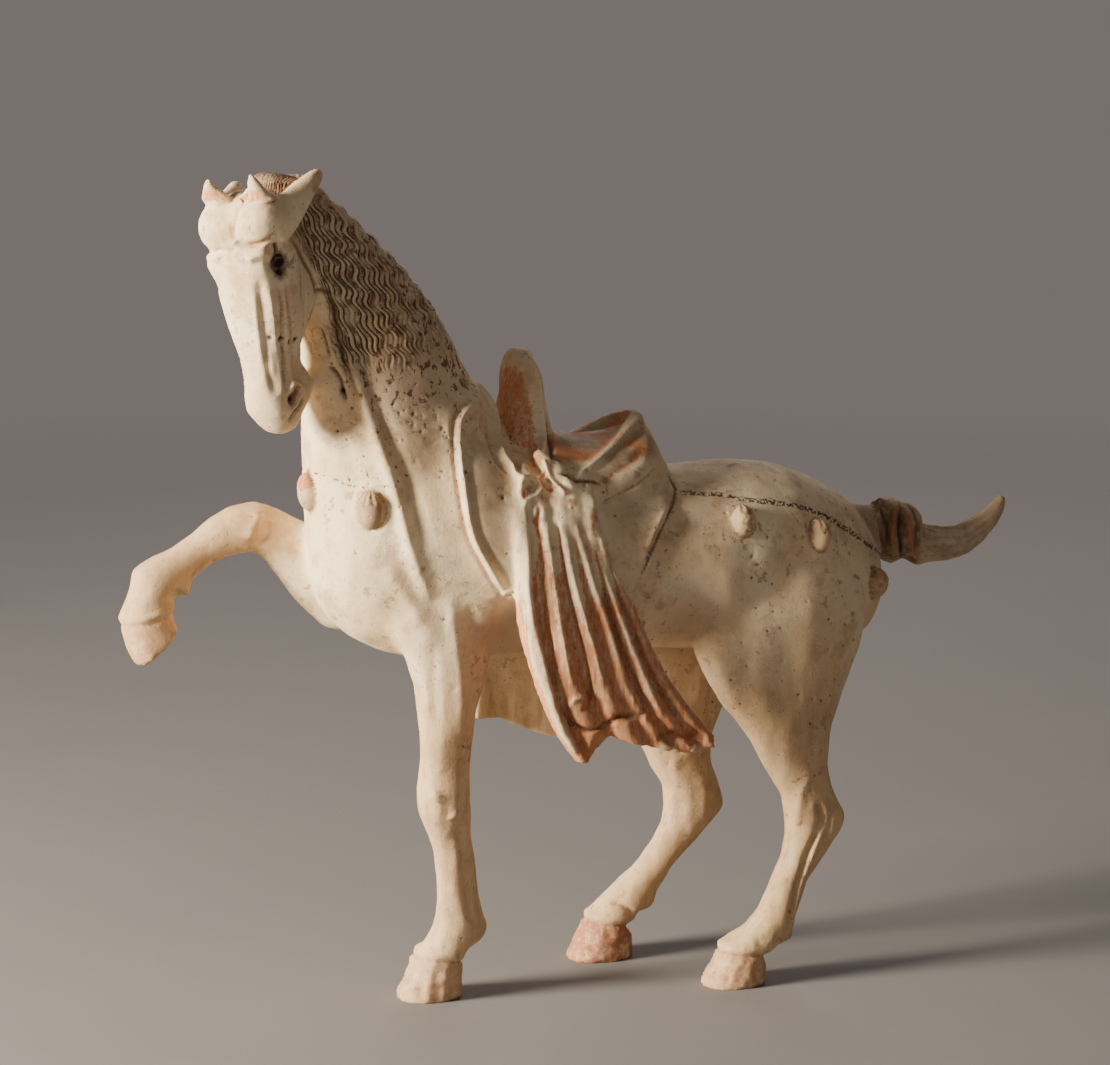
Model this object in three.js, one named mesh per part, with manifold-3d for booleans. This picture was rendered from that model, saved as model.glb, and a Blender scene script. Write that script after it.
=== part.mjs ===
// A moulded earthenware figure of a prancing saddled horse, fired in one piece.
// It faces -X with its left side toward -Y, stands on three hooves at Z = 0 and lifts its right foreleg.
// All sizes are in millimetres and all angles in degrees.

import * as THREE from 'three';
import { mergeVertices } from 'three/addons/utils/BufferGeometryUtils.js';
import Module from 'manifold-3d';

const wasm = await Module();
wasm.setup();

// Driving sizes
const BARREL_HALF_WIDTH = 64;
const BELLY = 213;
const CHEST_FRONT = -181;
const RUMP_BACK = 199;
const CLOTH = 3.5;
const HEAD_TURN = 38;
const HEAD_TUCK = 9;
const HEAD_TILT = 2;
const HEAD_BROW = [-242.5, -49, 463];
const CROWN_SHIFT = -3;
const CROWN_LEAN = 2.5;
const RIGHT_EAR_DROOP = 7;
const HOOF_SINK = 4;

const radians = THREE.MathUtils.degToRad;
const lerp = THREE.MathUtils.lerp;

// Curves through a few named stations

// Reads the columns of a table of rows at a position from 0 (first row) to 1 (last row), smoothly.
function along(rows, position) {
  const last = rows.length - 1;
  const place = Math.min(Math.max(position, 0), 1) * last;
  const at = Math.min(Math.floor(place), last - 1);
  const t = place - at;
  const row = (i) => rows[Math.min(Math.max(i, 0), last)];
  return row(at).map((_, column) => {
    const [a, b, c, d] = [row(at - 1), row(at), row(at + 1), row(at + 2)].map((r) => r[column]);
    const [bend, twist] = [2 * a - 5 * b + 4 * c - d, 3 * b - a - 3 * c + d];
    return 0.5 * (2 * b + (c - a) * t + bend * t * t + twist * t ** 3);
  });
}

// Reads a curve given as [key, value] pairs with growing or falling keys.
function curve(pairs, key) {
  const falling = pairs[0][0] > pairs[pairs.length - 1][0];
  const ordered = falling ? [...pairs].reverse() : pairs;
  if (key <= ordered[0][0]) return ordered[0][1];
  for (let i = 1; i < ordered.length; i += 1) {
    const [low, high] = [ordered[i - 1], ordered[i]];
    if (key <= high[0]) {
      return along(ordered, (i - 1 + (key - low[0]) / (high[0] - low[0])) / (ordered.length - 1))[1];
    }
  }
  return ordered[ordered.length - 1][1];
}

// Closed skins over rings of points

// Triangles that close the end of a sheet whose front has several points to each one of its back.
function hem(sides, perBack) {
  const backs = (sides - 2) / (perBack + 1);
  const triangles = [];
  for (let k = 0; k < backs; k += 1) {
    const [here, next] = [sides - 1 - k, sides - 2 - k];
    for (let j = 0; j < perBack; j += 1) triangles.push([k * perBack + j, k * perBack + j + 1, here]);
    triangles.push([(k + 1) * perBack, next, here]);
  }
  return triangles;
}

// A sheet is given as the number of its front points to each back point.
function skin(rings, sheet = 0) {
  const sides = rings[0].length;
  const points = rings.flat();
  const faces = [];
  for (let r = 0; r + 1 < rings.length; r += 1) {
    for (let s = 0; s < sides; s += 1) {
      const [a, b] = [r * sides + s, r * sides + ((s + 1) % sides)];
      faces.push(a, b, a + sides, b, b + sides, a + sides);
    }
  }
  const capped = (ring, offset, flip) => {
    if (sheet) {
      hem(sides, sheet).forEach(([a, b, c]) => {
        faces.push(offset + a, offset + (flip ? c : b), offset + (flip ? b : c));
      });
      return;
    }
    const normal = new THREE.Vector3();
    ring.forEach((p, i) => normal.add(new THREE.Vector3().crossVectors(p, ring[(i + 1) % sides])));
    const across = new THREE.Vector3().subVectors(ring[1], ring[0]).normalize();
    normal.normalize();
    const up = new THREE.Vector3().crossVectors(normal, across).normalize();
    const right = new THREE.Vector3().crossVectors(up, normal);
    const flat = ring.map((p) => new THREE.Vector2(p.dot(right), p.dot(up)));
    THREE.ShapeUtils.triangulateShape(flat, []).forEach(([a, b, c]) => {
      faces.push(offset + a, offset + (flip ? c : b), offset + (flip ? b : c));
    });
  };
  capped(rings[0], 0, true);
  capped(rings[rings.length - 1], (rings.length - 1) * sides, false);
  const geometry = new THREE.BufferGeometry().setFromPoints(points);
  geometry.setIndex(faces);
  return geometry;
}

// Rows of a limb: x, y, z, half depth, half width, turn of the ring, roundness power, egg shape.
function limb(rows, ringCount, sides) {
  const rings = [];
  for (let r = 0; r < ringCount; r += 1) {
    const [x, y, z, depth, width, turn, power, egg] = along(rows, r / (ringCount - 1));
    const ahead = new THREE.Vector3(Math.cos(radians(turn)), 0, Math.sin(radians(turn)));
    const ring = [];
    for (let s = 0; s < sides; s += 1) {
      const angle = (s / sides) * 2 * Math.PI;
      const [c, w] = [Math.cos(angle), Math.sin(angle)];
      const forward = depth * Math.sign(c) * Math.abs(c) ** (2 / power);
      const side = width * (1 + egg * c) * Math.sign(w) * Math.abs(w) ** (2 / power);
      ring.push(new THREE.Vector3(x, y + side, z).addScaledVector(ahead, forward));
    }
    rings.push(ring);
  }
  return skin(rings);
}

// Rows of a tube: x, y, z, radius in the plane of the bend, radius across it.
function tube(rows, ringCount, sides) {
  const centre = (t) => new THREE.Vector3(...along(rows, t).slice(0, 3));
  const rings = [];
  const step = 0.01;
  let out = new THREE.Vector3(0, 0, 1);
  for (let r = 0; r < ringCount; r += 1) {
    const t = r / (ringCount - 1);
    const [x, y, z, high, wide] = along(rows, t);
    const heading = new THREE.Vector3().subVectors(centre(t + step), centre(t - step)).normalize();
    const across = new THREE.Vector3().crossVectors(heading, out).normalize();
    out = new THREE.Vector3().crossVectors(across, heading).normalize();
    const ring = [];
    for (let s = 0; s < sides; s += 1) {
      const angle = (s / sides) * 2 * Math.PI;
      ring.push(new THREE.Vector3(x, y, z)
        .addScaledVector(out, high * Math.cos(angle))
        .addScaledVector(across, wide * Math.sin(angle)));
    }
    rings.push(ring);
  }
  return skin(rings);
}

// Swells (or hollows) a surface near each [x, y, z, reach along x, y, z, height].
function model(geometry, swellings) {
  geometry.computeVertexNormals();
  const { position, normal } = geometry.attributes;
  for (let i = 0; i < position.count; i += 1) {
    const p = new THREE.Vector3().fromBufferAttribute(position, i);
    const n = new THREE.Vector3().fromBufferAttribute(normal, i);
    let height = 0;
    swellings.forEach(([x, y, z, rx, ry, rz, h]) => {
      height += h * Math.exp(-(((p.x - x) / rx) ** 2) - ((p.y - y) / ry) ** 2 - ((p.z - z) / rz) ** 2);
    });
    p.addScaledVector(n, height);
    position.setXYZ(i, p.x, p.y, p.z);
  }
  return geometry;
}

// Solids and joins

function solid(geometry) {
  const plain = geometry.index ? geometry.clone() : geometry;
  plain.deleteAttribute('normal');
  plain.deleteAttribute('uv');
  const merged = mergeVertices(plain, 1e-4);
  const make = (triangles) => new wasm.Manifold(new wasm.Mesh({
    numProp: 3,
    vertProperties: Float32Array.from(merged.attributes.position.array),
    triVerts: triangles,
  }));
  const outward = make(Uint32Array.from(merged.index.array));
  if (outward.volume() > 0) return outward;
  const inward = Uint32Array.from(merged.index.array);
  for (let i = 0; i < inward.length; i += 3) {
    [inward[i], inward[i + 1]] = [inward[i + 1], inward[i]];
  }
  return make(inward);
}

function joined(geometries) {
  return geometries.map(solid).reduce((whole, next) => whole.add(next));
}

// Trunk: rows of x, top, underside, half width, roundness
const TRUNK = [
  [CHEST_FRONT + 1, 308, 268, 14, 2],
  [-177, 326, 254, 30, 2],
  [-166, 345, 238, 42, 2.1],
  [-146, 358, 224, 52, 2.2],
  [-118, 366, 215, 59, 2.3],
  [-88, 362, BELLY - 1, 62, 2.3],
  [-55, 344, BELLY - 1, BARREL_HALF_WIDTH - 1, 2.3],
  [-15, 331, BELLY, BARREL_HALF_WIDTH, 2.3],
  [25, 326, BELLY, BARREL_HALF_WIDTH, 2.3],
  [60, 325, BELLY - 3, BARREL_HALF_WIDTH, 2.3],
  [98, 327, BELLY - 6, BARREL_HALF_WIDTH - 1, 2.3],
  [132, 322, BELLY - 8, 58, 2.3],
  [160, 309, BELLY - 9, 49, 2.2],
  [182, 292, BELLY - 5, 36, 2.1],
  [194, 276, BELLY + 8, 22, 2],
  [RUMP_BACK, 258, BELLY + 20, 9, 2],
];

function trunk(growth) {
  const rows = TRUNK.map(([x, top, under, half, power]) => (
    [x, 0, (top + under) / 2, (top - under) / 2 + growth, half + growth, 90, power, -0.06]));
  return limb(rows, 19, 24);
}

const TRUNK_MUSCLES = [
  [-128, -50, 262, 30, 30, 32, 4.5],
  [-128, 50, 262, 30, 30, 32, 4.5],
  [-171, -26, 272, 20, 20, 26, 4],
  [-171, 26, 272, 20, 20, 26, 4],
  [-182, 0, 262, 16, 9, 26, -2.5],
  [128, -48, 262, 34, 30, 34, 5],
  [128, 48, 262, 34, 30, 34, 5],
  [66, -56, 246, 20, 22, 28, -5],
  [66, 56, 246, 20, 22, 28, -5],
  [199, 0, 262, 14, 8, 30, -3],
];

// Neck: rows of height, front, crest, sideways place, half width
const NECK = [
  [262, -172, -62, 0, 46],
  [285, -182, -56, 0, 51],
  [310, -184, -52, 0, 51],
  [335, -185, -55, 0, 46.5],
  [358, -186, -65, -1, 42],
  [380, -187, -76.5, -3, 37.5],
  [402, -188, -90, -6, 34],
  [422, -189, -101, -10, 31],
  [440, -200, -114, -13, 28.5],
  [456, -211, -128, -16, 26.5],
  [470, -218, -142, -18, 25],
  [483, -223, -156, -21, 23],
  [495, -226, -170.5, -24, 20],
  [506, -225, -184, -27, 16],
  [512, -224, -191, -29, 11],
  [515, -221, -201, -30, 5],
];
const MANE_LOCKS = 4;
const MANE_HEIGHT = 2.2;
const MANE_START = 100;
const MANE_FOOT = 345;
const MANE_FULL = 385;

// The sides of the neck's rings crowd toward the crest, one ridge and one groove to each lock of the mane.
function neck(growth) {
  const smooth = 6;
  const fine = MANE_LOCKS * 2;
  const angles = [];
  for (let s = 0; s < smooth; s += 1) angles.push((s / smooth) * MANE_START);
  for (let s = 0; s <= fine; s += 1) angles.push(MANE_START + (s / fine) * (180 - MANE_START));
  const whole = [...angles, ...angles.slice(1, -1).reverse().map((a) => 360 - a)];
  const rings = [];
  const ringCount = 17;
  for (let r = 0; r < ringCount; r += 1) {
    const [z, front, crest, y, half] = along(NECK, r / (ringCount - 1));
    const depth = (crest - front) / 2 + growth;
    const lift = growth ? 0 : THREE.MathUtils.smoothstep(z, MANE_FOOT, MANE_FULL);
    rings.push(whole.map((angle) => {
      const fromFront = angle > 180 ? 360 - angle : angle;
      const lock = ((fromFront - MANE_START) / (180 - MANE_START)) * MANE_LOCKS;
      const inMane = lock > -0.01 ? 1 : 0;
      const ridge = inMane * lift * MANE_HEIGHT * (0.5 - 0.5 * Math.cos(2 * Math.PI * lock));
      const [c, w] = [Math.cos(radians(angle)), Math.sin(radians(angle))];
      const wide = half + growth + ridge * 0.7;
      const ahead = (front + crest) / 2 - (depth + ridge * 0.4) * c;
      return new THREE.Vector3(ahead, y - wide * (1 + 0.04 * c) * w, z);
    }));
  }
  return skin(rings);
}

const NECK_MUSCLES = [
  [-150, -42, 340, 14, 24, 60, 2.5],
  [-168, -34, 372, 9, 18, 34, -3],
  [-168, 34, 372, 9, 18, 34, -3],
  [-184, 0, 330, 10, 8, 60, -1.5],
];

// Legs: rows of x, y, z, half depth, half width, turn, roundness, egg shape
const LEFT_FORE = [
  [-118, -26, 270, 22, 12, 180, 2, 0],
  [-114, -34, 246, 34, 19, 180, 2, 0],
  [-105, -35, 220, 27.5, 18.5, 180, 2.1, 0],
  [-106, -34, 200, 21, 16.5, 180, 2.1, 0],
  [-106, -32, 181, 18, 15, 180, 2.1, 0],
  [-105.5, -29, 157, 16, 13.5, 180, 2.1, 0],
  [-106, -26, 140, 16.5, 14.5, 180, 2.2, 0],
  [-106, -25, 128, 16.8, 15, 180, 2.3, 0],
  [-102, -22, 112, 14.3, 12, 180, 2.2, 0],
  [-98, -20, 97, 12.4, 10, 180, 2.1, 0],
  [-95, -17, 77, 13, 9.5, 180, 2.1, 0],
  [-93, -15, 62, 13.4, 10.5, 180, 2.1, 0],
  [-90.5, -12, 51, 16, 13, 180, 2.1, 0],
  [-90.5, -10, 42, 18.8, 14.5, 180, 2.1, 0.1],
  [-96, -8, 34, 17.6, 14.5, 180, 2.1, 0],
  [-103, -6, 28, 16.2, 15.5, 180, 2.1, 0],
  [-104, -5, 22, 17.2, 16.8, 180, 2.3, 0],
  [-106, -3, 11, 19.3, 16.8, 180, 2.4, 0.05],
  [-107.5, -2, 0, 20.8, 17.8, 180, 2.4, 0.05],
  [-108, -2, -HOOF_SINK, 21.3, 18, 180, 2.4, 0.05],
];

const LEFT_HIND = [
  [121, -24, 282, 30, 14, 180, 2, 0],
  [118, -36, 262, 47, 24, 180, 2, 0],
  [113, -42, 236, 60, 26, 180, 2, 0],
  [110, -46, 212, 57, 23, 180, 2, 0],
  [109, -49, 196, 49, 21, 180, 2, 0],
  [110, -50, 182, 42, 19.5, 180, 2, 0],
  [115, -51, 160, 28.6, 16.5, 180, 2, 0],
  [120, -51, 138, 21.8, 14, 180, 2.1, 0],
  [128, -51, 120, 17.7, 12.5, 180, 2.2, 0],
  [134.5, -50, 105, 20.6, 13.2, 180, 2.3, 0],
  [133, -50, 94, 18.6, 12.6, 180, 2.2, 0],
  [126, -49, 79, 14.6, 11, 180, 2.1, 0],
  [117, -48, 63, 12.5, 9.8, 180, 2.1, 0],
  [111, -48, 47, 13.4, 10.5, 180, 2.1, 0],
  [105.5, -47, 37, 16.2, 12.8, 180, 2.1, 0],
  [97.5, -46, 29, 22, 14.5, 180, 2.1, 0.1],
  [88.5, -46, 22.5, 18.6, 14.8, 180, 2.1, 0],
  [86, -45, 17, 17.6, 16, 180, 2.3, 0],
  [83, -45, 10, 19.4, 16.8, 180, 2.4, 0.05],
  [81, -45, 0, 21, 17.6, 180, 2.4, 0.05],
  [80.5, -45, -HOOF_SINK, 21.3, 17.8, 180, 2.4, 0.05],
];

const RIGHT_HIND = [
  [118, 24, 282, 30, 14, 180, 2, 0],
  [111, 36, 262, 46, 24, 180, 2, 0],
  [100, 42, 236, 58, 26, 180, 2, 0],
  [93, 45, 212, 54, 23, 180, 2, 0],
  [86, 47, 190, 44, 20.5, 180, 2, 0],
  [82, 48, 165, 35, 18.5, 180, 2, 0],
  [81, 49, 145, 28, 16.5, 180, 2, 0],
  [83, 49, 129, 23.5, 15, 180, 2.1, 0],
  [90, 49, 114, 18.5, 13, 180, 2.2, 0],
  [95, 48, 98, 21.2, 13.2, 180, 2.3, 0],
  [92.5, 48, 89, 19.8, 12.6, 180, 2.2, 0],
  [86.5, 47, 80, 17.2, 11, 180, 2.1, 0],
  [77, 47, 69, 15.2, 9.8, 180, 2.1, 0],
  [67, 47, 58, 14, 10, 180, 2.1, 0],
  [57, 46, 49, 16, 11, 180, 2.1, 0],
  [50, 46, 41, 17.8, 12.8, 180, 2.1, 0],
  [42.5, 45, 33, 20.6, 14.5, 180, 2.1, 0.1],
  [33.5, 45, 26.5, 16.6, 14.8, 180, 2.1, 0],
  [31, 45, 20, 17.4, 16.2, 180, 2.3, 0],
  [28.5, 45, 11, 20.2, 16.8, 180, 2.4, 0.05],
  [27, 45, 0, 22, 17.6, 180, 2.4, 0.05],
  [26.5, 45, -HOOF_SINK, 22.4, 17.8, 180, 2.4, 0.05],
];

const RIGHT_FORE = [
  [-110, 24, 238, 18, 11, 46, 2, 0],
  [-140, 38, 250, 29, 20, 46, 2, 0],
  [-160, 41, 264, 24.5, 18.5, 47, 2.1, 0],
  [-179, 42, 280, 19, 16, 52, 2.1, 0],
  [-192, 42, 290, 16, 14.5, 62, 2.1, 0],
  [-205, 42, 295.5, 15.6, 14.5, 82, 2.3, 0],
  [-216, 42, 294, 15.4, 14.5, 100, 2.3, 0],
  [-227, 42, 289.5, 13.2, 12.2, 116, 2.2, 0],
  [-238, 42, 283, 11.2, 10, 122, 2.1, 0],
  [-249, 42, 276, 11.6, 10.4, 127, 2.1, 0],
  [-258, 42, 270.5, 13.6, 12.6, 136, 2.1, 0],
  [-266, 42, 263, 15, 14, 151, 2.1, 0.08],
  [-270.5, 42, 254.5, 14.2, 14, 166, 2.1, 0],
  [-272.5, 42, 247.5, 15.6, 15, 178, 2.2, 0],
  [-272.5, 42, 239, 16.4, 16.4, 194, 2.3, 0.04],
  [-270, 42, 231, 17, 17.4, 211, 2.4, 0.05],
  [-266.5, 42, 225, 17.2, 18, 224, 2.4, 0.05],
];

// Head, modelled upright and facing -X about the middle of the brow, then tucked and turned into place
// Rows of distance below the brow, front, back, half width, roundness, egg shape
const HEAD = [
  [-39, -14, -30, 9, 2, 0],
  [-35, -6, -38, 17, 2.1, 0],
  [-26, 0, -46, 21.5, 2.2, 0],
  [-13, 1, -52, 24, 2.3, 0],
  [0, 1, -56, 26, 2.4, 0],
  [14, 0, -58, 25.5, 2.4, -0.04],
  [29, -1.5, -56, 24, 2.4, -0.06],
  [43, -3, -49, 21, 2.4, -0.04],
  [57, -4.5, -41, 17.2, 2.4, 0],
  [69, -4.5, -44, 16, 2.3, 0.02],
  [79, -4, -54, 17, 2.2, 0.04],
  [88, -5, -50, 16.2, 2.3, 0.04],
  [95, -8.5, -39, 14.2, 2.3, 0],
  [101, -13.5, -36, 11.5, 2.2, 0],
  [105, -18, -32, 8, 2.1, 0],
  [106.5, -22, -28, 4, 2, 0],
];

const HEAD_FEATURES = [
  [-1, -23, -2, 9, 7, 8, 3.2],
  [-1, 23, -5, 9, 7, 9, 4.6],
  [12, -25, -2, 7, 6, 7, -5],
  [12, 25, -2, 7, 6, 7, -5],
  [42, -25, -22, 14, 12, 15, 3],
  [42, 25, -22, 14, 12, 15, 3],
  [14, -18, -62, 8, 6, 24, -3.5],
  [14, 18, -62, 8, 6, 24, -3.5],
  [10, -16, -86, 6, 5, 6, 2.4],
  [10, 16, -86, 6, 5, 6, 2.4],
];

function headPieces() {
  const rows = HEAD.map(([down, front, back, half, power, egg]) => (
    [-(front + back) / 2, 0, -down, (front - back) / 2, half, 180, power, egg]));
  const pieces = [model(limb(rows, 20, 18), HEAD_FEATURES)];
  [-1, 1].forEach((side) => {
    pieces.push(forelock(side));
    pieces.push(tuft(side));
    pieces.push(ear(side));
  });
  const place = new THREE.Matrix4().makeRotationZ(radians(HEAD_TURN))
    .multiply(new THREE.Matrix4().makeRotationY(radians(-HEAD_TUCK)))
    .multiply(new THREE.Matrix4().makeRotationX(radians(-HEAD_TILT)));
  place.setPosition(...HEAD_BROW);
  return pieces.map((piece) => piece.applyMatrix4(place));
}

// One rounded mass of the parted forelock, over the eye on its side
function forelock(side) {
  const lock = new THREE.SphereGeometry(1, 11, 8);
  lock.scale(17, 16.5, 17);
  return lock.translate(13, side * 12.5 + CROWN_SHIFT / 2, 23.5 - side * CROWN_LEAN);
}

// The small pointed tuft on top of each forelock
function tuft(side) {
  const middle = side * 14.5 + CROWN_SHIFT / 2;
  const rise = 1 - side * CROWN_LEAN / 2;
  return tube([
    [12, middle, 30 + rise, 8, 9],
    [9.5, middle, 37 + rise, 6.5, 7.5],
    [6.5, middle + side, 44 + rise, 4, 4.5],
    [4, middle + side, 50 + rise, 1.4, 1.4],
  ], 5, 7);
}

// The ear, laid back along the neck from the outside of the forelock
function ear(side) {
  const droop = side > 0 ? RIGHT_EAR_DROOP : 0;
  return tube([
    [12, side * 18, 17, 11, 9],
    [22, side * 22, 25, 12, 8],
    [32, side * 25, 32.5 - droop / 2, 9.5, 7],
    [41, side * 27.5, 38 - droop, 7.5, 6],
    [49, side * 29, 42.5 - droop, 5.5, 5],
    [55, side * 30, 45 - droop, 2.2, 2.2],
  ].map(([x, y, z, high, wide]) => [x, y + CROWN_SHIFT / 2, z, high, wide]), 7, 9);
}

// Saddle: the pommel stands on rows of height, place, half depth, half width
const POMMEL = [
  [318, -46, 28, 52],
  [332, -44, 22, 45],
  [346, -44, 17.5, 31.5],
  [362, -44, 14.5, 23.5],
  [378, -44.5, 12, 19.5],
  [390, -44.5, 10.5, 17.5],
  [398, -46, 7.5, 12],
  [403, -47, 3, 5],
];
// The seat: rows of place, top, half width
const SEAT_BASE = 318;
const SEAT = [
  [-40, 356, 48],
  [-22, 351.5, 51],
  [-4, 348, 53],
  [10, 349, 52],
  [22, 353, 47],
  [31, 356.5, 39],
  [37, 352, 33],
  [42, 338, 28],
  [49, 325, 20],
];

function saddlePieces() {
  const pommel = limb(POMMEL.map(([z, x, depth, half]) => [x, 1, z, depth, half, 180, 2.6, 0]), 10, 16);
  const seat = limb(SEAT.map(([x, top, half]) => (
    [x, 0, SEAT_BASE, top - SEAT_BASE, half, 90, 2, 0])), 11, 16);
  const rim = [
    [-27, 54, 322, 5],
    [-9, 39, 331.5, 5.5],
    [10, 24, 342.5, 6],
    [26, 10, 353.5, 6],
  ];
  const cantle = tube([
    ...rim.map(([x, y, z, r]) => [x, -y, z, r, r]),
    [32, 0, 356.5, 5.5, 5.5],
    ...rim.reverse().map(([x, y, z, r]) => [x, y, z, r, r]),
  ], 17, 6);
  return [pommel, seat, cantle];
}

// Saddle cloth: the outline of its hanging panels, seen from the side
const CLOTH_OUTLINE = [
  [-84, 386], [-97, 380], [-108, 370], [-110, 354], [-107, 330], [-104, 306], [-98, 284], [-86, 266],
  [-70, 259], [-30, 257], [2, 259], [13, 272], [24, 291], [31, 308], [32, 322], [26, 340], [-20, 372],
];

function clothPanels() {
  const points = CLOTH_OUTLINE.map(([x, z]) => new THREE.Vector2(x, z));
  const outline = new THREE.Shape(new THREE.SplineCurve([...points, points[0]]).getPoints(34));
  const reach = BARREL_HALF_WIDTH + 20;
  const block = new THREE.ExtrudeGeometry(outline, { depth: 2 * reach, bevelEnabled: false });
  const prism = solid(block.rotateX(Math.PI / 2).translate(0, reach, 0));
  return solid(trunk(CLOTH)).add(solid(neck(CLOTH))).intersect(prism);
}

// Drapes: hanging cloths gathered at the top, their folds run from the knot to the hem
const LEFT_DRAPE = {
  side: -1,
  front: [[334, -67], [327, -72], [304, -75.5], [279, -75], [259, -74], [233, -71], [208, -65],
    [185, -57], [166, -47], [158, -40]],
  rear: [[334, -26], [317, -19], [299, -19], [273, -11.5], [251, 0], [224, 11], [203, 22],
    [185, 36], [168, 51], [158, 58]],
  hem: [[0, 160], [0.07, 158.5], [0.13, 164], [0.2, 176], [0.28, 178], [0.36, 172], [0.47, 167],
    [0.65, 163.5], [0.8, 161], [0.93, 163], [1, 168]],
  top: 331,
  out: [[334, 51], [322, 60], [304, 67.5], [270, 74], [235, 78.5], [200, 82.5], [170, 86], [158, 87]],
  thick: 9,
  grooves: [[0, 0, 2, 3], [0.22, 0.09, 5, 6.5], [0.47, 0.33, 4.5, 7], [0.67, 0.55, 2, 3],
    [0.83, 0.67, 4, 6.5], [0.95, 0.85, 2.5, 5], [1, 1, 2, 5]],
};
const RIGHT_DRAPE = {
  side: 1,
  front: [[334, -67], [310, -72], [270, -68], [230, -60], [195, -49], [170, -46], [150, -47],
    [134, -46]],
  rear: [[334, -26], [310, -20], [270, -10], [230, 6], [195, 21], [170, 32], [150, 39], [134, 41]],
  hem: [[0, 156], [0.15, 157.5], [0.35, 149], [0.55, 141.5], [0.75, 137], [0.9, 134.5], [1, 138]],
  top: 331,
  out: [[334, 51], [322, 59], [304, 66.5], [270, 72.5], [235, 76], [200, 79], [170, 81], [134, 82]],
  thick: 8,
  grooves: [[0, 0, 2, 3], [0.3, 0.22, 3.5, 5], [0.58, 0.5, 3, 5], [0.82, 0.76, 3, 4.5], [1, 1, 2, 4]],
};

function drape(cloth, ringCount, stepsPerFold) {
  const rings = [];
  for (let r = 0; r < ringCount; r += 1) {
    const t = r / (ringCount - 1);
    const outer = [];
    const inner = [];
    const folds = cloth.grooves.length - 1;
    for (let j = 0; j <= folds * stepsPerFold; j += 1) {
      const fold = Math.min(Math.floor(j / stepsPerFold), folds - 1);
      const u = j / stepsPerFold - fold;
      const [a, b] = [cloth.grooves[fold], cloth.grooves[fold + 1]];
      const s = lerp(lerp(a[0], a[1], t), lerp(b[0], b[1], t), u);
      const groove = lerp(lerp(a[2], a[3], t), lerp(b[2], b[3], t), u);
      const z = lerp(cloth.top, curve(cloth.hem, s), t);
      const x = lerp(curve(cloth.front, z), curve(cloth.rear, z), s);
      const belly = 4 * Math.sin(Math.PI * s);
      const depth = groove * (1 - Math.sin(Math.PI * u) ** 0.6);
      const y = curve(cloth.out, z) + belly * t - depth;
      const under = curve(cloth.out, z) + belly * t - cloth.thick - 8 * (1 - t) * (1 - t);
      outer.push(new THREE.Vector3(x, cloth.side * y, z));
      if (j % stepsPerFold === 0) inner.push(new THREE.Vector3(x, cloth.side * under, z));
    }
    rings.push([...outer, ...inner.reverse()]);
  }
  return skin(rings, stepsPerFold);
}

// The knot that gathers a drape at the saddle's edge
function knot(side) {
  const rear = tube([
    [-50, side * 38, 344, 3, 4],
    [-46, side * 46, 337, 5.5, 6.5],
    [-39, side * 53, 328, 6.5, 6.5],
    [-32, side * 57, 319, 4.5, 4.5],
  ], 6, 7);
  const front = tube([
    [-61, side * 40, 338, 3, 4],
    [-62, side * 48, 332, 5.5, 6],
    [-65, side * 55, 323, 5.5, 5.5],
    [-68, side * 60, 312, 4, 4],
  ], 6, 7);
  return [rear, front];
}

// Tail: rows of x, y, z, half height, half width
const TAIL = [
  [166, 0, 279, 13, 13],
  [184, 0, 282.5, 13.5, 13],
  [201, 0, 277, 12.6, 12],
  [216, 0, 271, 12, 11.5],
  [230, 0, 265.5, 12.6, 11],
  [246, 0, 263.5, 11.6, 10],
  [262, 0, 266, 9.8, 8.5],
  [276, 0, 273.5, 8.2, 7],
  [286, 0, 283, 6.2, 5.5],
  [292, 0, 292.5, 2.6, 2.6],
];
// The band bound round the tail
const TAIL_BAND = [
  [196, 0, 279, 12.8, 12],
  [200, 0, 278, 19, 16],
  [205, 0, 276.5, 20.5, 17.5],
  [209, 0, 275.5, 18.5, 16],
  [214, 0, 273.5, 21, 18.5],
  [219, 0, 271.5, 20.5, 17],
  [225, 0, 268, 13, 12],
];

// Moulded pendants: centre, half width, half height, half depth
const PENDANTS = [
  [-156, -47, 314, 9.5, 12.5, 6.5],
  [-181, -6, 320, 6.5, 12, 9],
  [79, -57, 298, 8.5, 10.5, 7],
  [132, -54, 285, 6.5, 10, 7],
  [187, -35, 248, 6.5, 11, 9],
  [-156, 47, 314, 9.5, 12.5, 6.5],
  [79, 57, 298, 8.5, 10.5, 7],
  [132, 54, 285, 6.5, 10, 7],
  [187, 35, 248, 6.5, 11, 9],
];

function pendant([x, y, z, wide, high, deep]) {
  const drop = new THREE.SphereGeometry(1, 6, 5);
  const { position } = drop.attributes;
  for (let i = 0; i < position.count; i += 1) {
    const narrowing = 1 - 0.28 * Math.max(position.getY(i), 0);
    position.setX(i, position.getX(i) * narrowing);
    position.setZ(i, position.getZ(i) * narrowing);
  }
  drop.rotateX(Math.PI / 2).scale(wide, deep, high);
  const facing = Math.atan2(Math.abs(y) < 10 ? 0 : Math.sign(y), x < -170 || x > 180 ? Math.sign(x) : 0);
  return drop.rotateZ(facing - Math.PI / 2).translate(x, y, z);
}

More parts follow.
